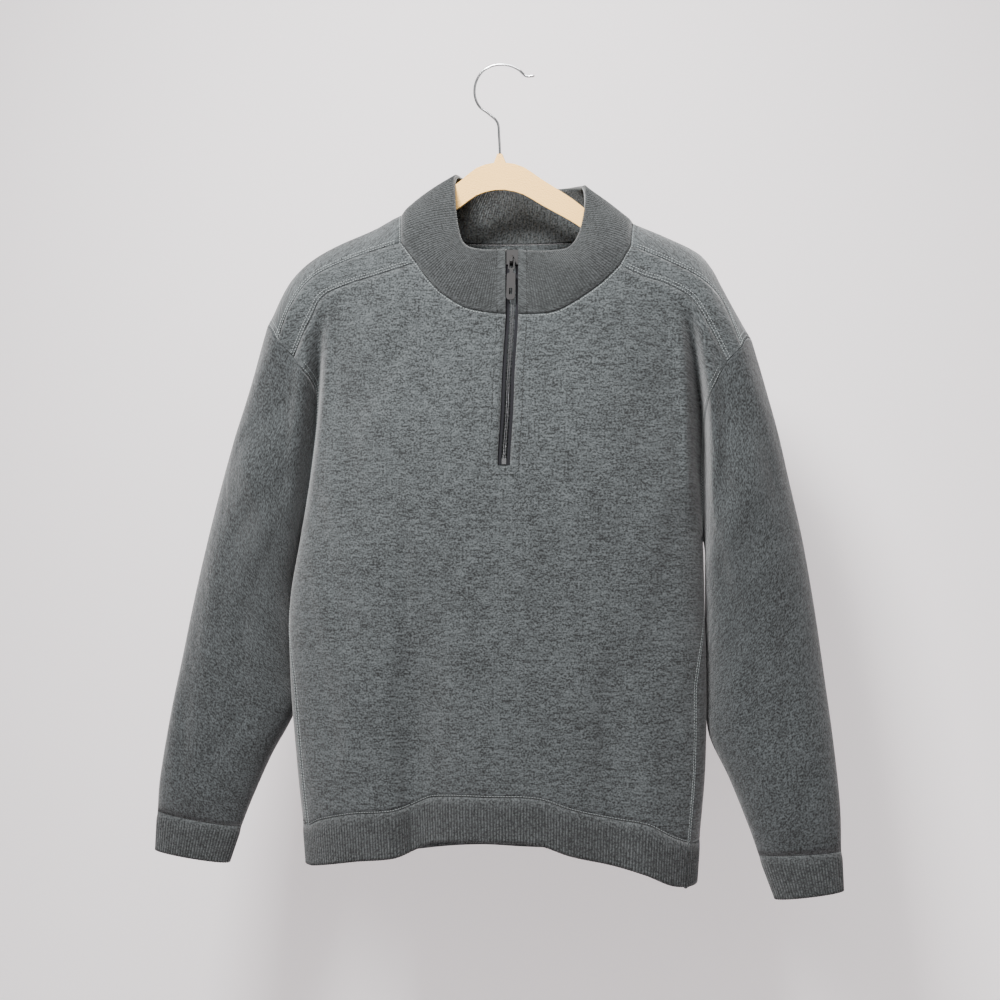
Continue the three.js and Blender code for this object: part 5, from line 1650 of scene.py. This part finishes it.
class Topstitching:
    """The pale thread beside the seams, and a painted highlight along the collar's top edge."""

    PROUD = CLOTH_THICK / 2 + 0.15
    NEAR = 2.2
    TWIN = 7.0
    PLACKET_HALF = 16.0
    PLACKET_FOOT = 9.0
    PLACKET_ROUND = 7.0
    PLACKET_START = 4.0
    PLACKET_POINTS = 50
    COLLAR_RIB = 0.8
    SEAM_OFF = 1.5
    SEAM_PROUD = 0.2
    SEAM_PART = (0.03, 0.97)
    COLLAR_COLUMNS = 30

    def __init__(self, panels: Panels, bands: Bands) -> None:
        """Keep the cloth whose seams are sewn."""
        self.panels = panels
        self.bands = bands

    def edge(self, grid: Grid, part: tuple[slice, slice], distance: float, across: bool = False) -> Array:
        """A line beside an edge of a grid, of which part runs inwards from it."""
        points, normals = grid.points[part], grid.normals[part]
        if across:
            points, normals = points.transpose(1, 0, 2), normals.transpose(1, 0, 2)
        return beside(points, normals, distance, self.PROUD)

    def placket(self) -> list[Array]:
        """The line down both sides of the zip and round its foot."""
        foot_z = ZIP_BOTTOM_Z - self.PLACKET_FOOT
        straight = foot_z + self.PLACKET_ROUND
        z = np.linspace(NECK_FRONT_Z - self.PLACKET_START, straight, self.PLACKET_POINTS)
        turn = np.linspace(0, np.pi / 2, 8)[1:]
        bend_z = straight - self.PLACKET_ROUND * np.sin(turn)
        offset = self.PLACKET_HALF - self.PLACKET_ROUND * (1 - np.cos(turn))
        z = np.concatenate([z, bend_z])
        away = np.concatenate([np.full(self.PLACKET_POINTS, self.PLACKET_HALF), offset])
        left = np.stack([zip_x(z) - away, z], axis=1)
        right = np.stack([zip_x(z) + away, z], axis=1)
        line = front_points(np.vstack([left, right[::-1]]))
        line[:, 1] -= self.PROUD - 0.1
        collar = self.bands.grids["collar"]
        distance = self.PLACKET_HALF - ZIP_OPEN_HALF
        proud = COLLAR_THICK / 2 + self.COLLAR_RIB
        ends = (slice(None, self.COLLAR_COLUMNS), slice(None, -self.COLLAR_COLUMNS, -1))
        made = [line]
        for end in ends:
            made.append(beside(collar.points[1:, end], collar.normals[1:, end], distance, proud))
        return made

    def collar_edge(self) -> Array:
        """A painted highlight: a pale line of small beads along the inner edge of the collar's top, where
        light catches the folded edge.
        """
        collar = self.bands.grids["collar"]
        top, below = collar.points[-1], collar.points[-2]
        up = (top - below) / np.linalg.norm(top - below, axis=1, keepdims=True)
        return top - collar.normals[-1] * (COLLAR_THICK / 2) + up * 0.2

    def lines(self) -> list[Array]:
        """Every stitch line on the smooth panels."""
        p = self.panels
        inwards = slice(None, 24)
        outwards = slice(None, -30, -1)
        made = []
        for distance in (self.NEAR, self.TWIN):
            for grid, first, rows in ((p.front, 3, ARMHOLE), (p.back, 0, YOKE + BACK_ARMHOLE)):
                top = slice(first, rows)
                made.append(self.edge(grid, (top, inwards), distance))
                made.append(self.edge(grid, (top, outwards), distance))
        for side in (-1, 1):
            columns = slice(4, SEAM)
            for distance in (self.NEAR, self.TWIN - 1.5):
                part = p.strips[side]
                made.append(self.edge(part, (slice(None, None, -1), columns), distance, across=True))
                behind = columns if side < 0 else slice(-5, -SEAM - 1, -1)
                made.append(self.edge(p.back, (slice(None, 30), behind), distance, across=True))
        for column in (inwards, outwards):
            made.append(self.edge(p.front, (slice(ARMHOLE + 2, None), column), self.NEAR))
            made.append(self.edge(p.back, (slice(YOKE + BACK_ARMHOLE + 2, None), column), self.NEAR))
        part = np.linspace(*self.SEAM_PART, 500)
        points, normals = self.bands.lines["collar"].at(part)
        collar = self.bands.grids["collar"]
        up = collar.points[2] - collar.points[0]
        up_line = SeamLine(up, up).at(part)[0]
        down = -up_line / np.linalg.norm(up_line, axis=1, keepdims=True)
        down -= (down * normals).sum(axis=1, keepdims=True) * normals
        made.append(points + down * self.SEAM_OFF + normals * (self.PROUD + self.SEAM_PROUD))
        for grid in (p.front, p.back):
            foot = (slice(None, -self.COLLAR_COLUMNS, -1), slice(3, -3))
            made.append(self.edge(grid, foot, self.SEAM_OFF, across=True))
        return made

    def build(self, palette: Palette) -> None:
        """Sew them, and lay the painted highlight along the collar's top."""
        sewn = (
            (Repeats("topstitching", (0.65, 0.5, 2.4), 3.0), self.lines(), THREAD),
            (Repeats("placket_stitching", (1.2, 0.5, 2.9), 3.0), self.placket(), SOFT_THREAD),
            # painted highlight along the collar's folded top edge
            (Repeats("collar_edge", (0.9, 0.9, 3.2), 2.0), [self.collar_edge()], PAINTED_EDGE_HIGHLIGHT),
        )
        for repeats, lines, thread in sewn:
            obj = repeats.build(lines, palette.material(thread))
            log.info("%s: %d faces", obj.name, len(obj.data.polygons))


class Zip:
    """The zip's coil, and the finishes of its CAD pieces."""

    TEETH_TOP = -227.0
    TEETH_FOOT = -433.0
    COIL_PITCH = 1.5
    COIL_OFF = 1.0
    DEPTH_PANEL = 1.8
    DEPTH_COLLAR = 2.8
    LINE_POINTS = 220
    STEP_BELOW = 26.0
    STEP_RUN = 18.0

    def line(self, off: float) -> Array:
        """The path of one side's teeth."""
        z = np.linspace(self.TEETH_TOP, self.TEETH_FOOT, self.LINE_POINTS)
        x = zip_x(z)
        neck_y = float(trunk_y(zip_x(NECK_FRONT_Z), NECK_FRONT_Z, -1))
        rise = (z - NECK_FRONT_Z) / (COLLAR_TOP.rows[0][3] - NECK_FRONT_Z)
        collar_y = neck_y + (COLLAR_TOP.rows[0][2] - neck_y) * rise
        y = np.where(z < NECK_FRONT_Z, trunk_y(x, z, -1), collar_y)
        share = smooth((z - NECK_FRONT_Z + self.STEP_BELOW) / self.STEP_RUN)
        behind = self.DEPTH_PANEL * (1 - share) + self.DEPTH_COLLAR * share
        return np.stack([x + off, y + behind, z], axis=1)

    def build(self, palette: Palette) -> None:
        """Lay the teeth and dress the rest."""
        repeats = Repeats("zip_coil", (2.3, 2.2, 0.9), self.COIL_PITCH)
        left, right = self.line(-self.COIL_OFF), self.line(self.COIL_OFF)
        right = np.vstack([right[:1] + (0, 0, self.COIL_PITCH / 2), right])
        obj = repeats.build([left, right], palette.material(TEETH))
        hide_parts("zip_teeth")
        finishes = {
            "zip_slider": GUNMETAL,
            "zip_pull_tab": GUNMETAL,
            "zip_bottom_stop": BRIGHT,
            "zip_tape_left": TAPE,
            "zip_tape_right": TAPE,
        }
        for name, finish in finishes.items():
            palette.dress(bpy.data.objects[name], finish)


class Hanger:
    """The flocked hanger and its wire hook."""

    HOOK_SIDES = 20
    HOOK_RADIUS = 1.5
    HOOK_STEPS = 200

    def build(self, palette: Palette) -> None:
        """Dress the hanger and bend the hook."""
        palette.dress(bpy.data.objects["hanger_body"], FLOCK)
        path = at_shares(drawn(HOOK_PATH.points()), even(self.HOOK_STEPS))
        path = np.stack([path[:, 0], np.zeros(len(path)), path[:, 1]], axis=1)
        hook = tube("hook_wire", path, self.HOOK_RADIUS, self.HOOK_SIDES)
        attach(hook, "sweater")
        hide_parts("hanger_hook")
        palette.dress(hook, STEEL)


@dataclass(frozen=True)
class Lamp:
    """A square soft light: its place, its size in metres, and the angle that it shines into."""

    name: str
    place: tuple[float, float, float]
    size: float
    watts: float
    spread: float = math.pi


class Set:
    """The pale wall and floor, the lights and the camera."""

    LAMPS = (
        Lamp("key", (-0.5, -1.4, 1.1), 0.6, 21.0, 1.15),
        Lamp("fill", (1.2, -2.2, 0.5), 1.4, 7.0),
        Lamp("top", (0.15, -0.75, 1.25), 0.7, 12.0, 1.9),
    )
    ROOM_COLOR = (1.0, 0.985, 0.98)
    ROOM_STRENGTH = 0.18
    CHEST = (0.0, 0.0, -0.4)
    WALL_COLOR = (0.62, 0.59, 0.595)
    WALL_GLOW = (0.52, 0.482, 0.488)
    WALL_Y = 0.24
    FLOOR_Z = -1.32
    CAMERA = (0.3062, -2.1786, -0.4774)
    LENS = 72.0
    SENSOR = 36.0
    WALL_TOP = 2.2
    WALL_HALF = 4.0
    FLOOR_FRONT_Y = -4.0
    SWEEP_RADIUS = 0.2
    SWEEP_STEPS = 16

    def backdrop(self) -> None:
        """A wall that curves into a floor."""
        profile = [(self.WALL_Y, self.WALL_TOP)]
        for i in range(self.SWEEP_STEPS + 1):
            turn = math.pi / 2 * i / self.SWEEP_STEPS
            y = self.WALL_Y - self.SWEEP_RADIUS * (1 - math.cos(turn))
            profile.append((y, self.FLOOR_Z + self.SWEEP_RADIUS * (1 - math.sin(turn))))
        profile.append((self.FLOOR_FRONT_Y, self.FLOOR_Z))
        points = [(x, y, z) for x in (-self.WALL_HALF, self.WALL_HALF) for y, z in profile]
        count = len(profile)
        faces = [(i, i + 1, count + i + 1, count + i) for i in range(count - 1)]
        mesh = bpy.data.meshes.new("backdrop")
        mesh.from_pydata(points, [], faces)
        make_smooth(mesh)
        obj = placed("backdrop", mesh)
        made, tree, shader = new_material("backdrop")
        shader.inputs["Base Color"].default_value = (*self.WALL_COLOR, 1)
        shader.inputs["Roughness"].default_value = 0.9
        shader.inputs["Emission Color"].default_value = (*self.WALL_GLOW, 1)
        shader.inputs["Emission Strength"].default_value = 1.0
        facing, clear, choice = (
            tree.nodes.new(kind)
            for kind in ("ShaderNodeNewGeometry", "ShaderNodeBsdfTransparent", "ShaderNodeMixShader")
        )
        tree.links.new(facing.outputs["Backfacing"], choice.inputs[0])
        tree.links.new(shader.outputs["BSDF"], choice.inputs[1])
        tree.links.new(clear.outputs["BSDF"], choice.inputs[2])
        tree.links.new(choice.outputs["Shader"], tree.nodes["Material Output"].inputs["Surface"])
        obj.data.materials.append(made)
        obj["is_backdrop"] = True

    def light(self, lamp: Lamp) -> None:
        """Hang a lamp so that it faces the sweater's chest."""
        data = bpy.data.lights.new(lamp.name, "AREA")
        data.size, data.energy, data.spread = lamp.size, lamp.watts, lamp.spread
        obj = placed(lamp.name, data)
        obj.location = lamp.place
        obj.rotation_euler = (Vector(self.CHEST) - Vector(lamp.place)).to_track_quat("-Z", "Y").to_euler()

    def build(self) -> None:
        """Set everything up."""
        self.backdrop()
        for lamp in self.LAMPS:
            self.light(lamp)
        world = bpy.data.worlds.new("room")
        world.use_nodes = True
        background = world.node_tree.nodes["Background"]
        background.inputs["Color"].default_value = (*self.ROOM_COLOR, 1)
        background.inputs["Strength"].default_value = self.ROOM_STRENGTH
        bpy.context.scene.world = world
        data = bpy.data.cameras.new("camera")
        data.lens, data.sensor_width = self.LENS, self.SENSOR
        camera = placed("camera", data)
        camera.location = self.CAMERA
        aim = Vector((0.0, 0.0, self.CAMERA[2])) - Vector(self.CAMERA)
        camera.rotation_euler = aim.to_track_quat("-Z", "Y").to_euler()
        bpy.context.scene.camera = camera


def main() -> tuple[Vector, Vector]:
    """Build the whole scene.

    Returns:
        The CAD model's box.
    """
    logging.basicConfig(level=logging.INFO, format="%(name)s: %(message)s")
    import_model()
    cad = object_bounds()
    palette = Palette()
    panels = Panels()
    panels.build(palette)
    bands = Bands(panels)
    bands.build_hem(palette)
    bands.build_cuff(palette, -1)
    bands.build_cuff(palette, 1)
    bands.build_collar(palette)
    Topstitching(panels, bands).build(palette)
    Zip().build(palette)
    Hanger().build(palette)
    Set().build()
    return cad


if __name__ == "__main__":
    CAD_BOX = main()
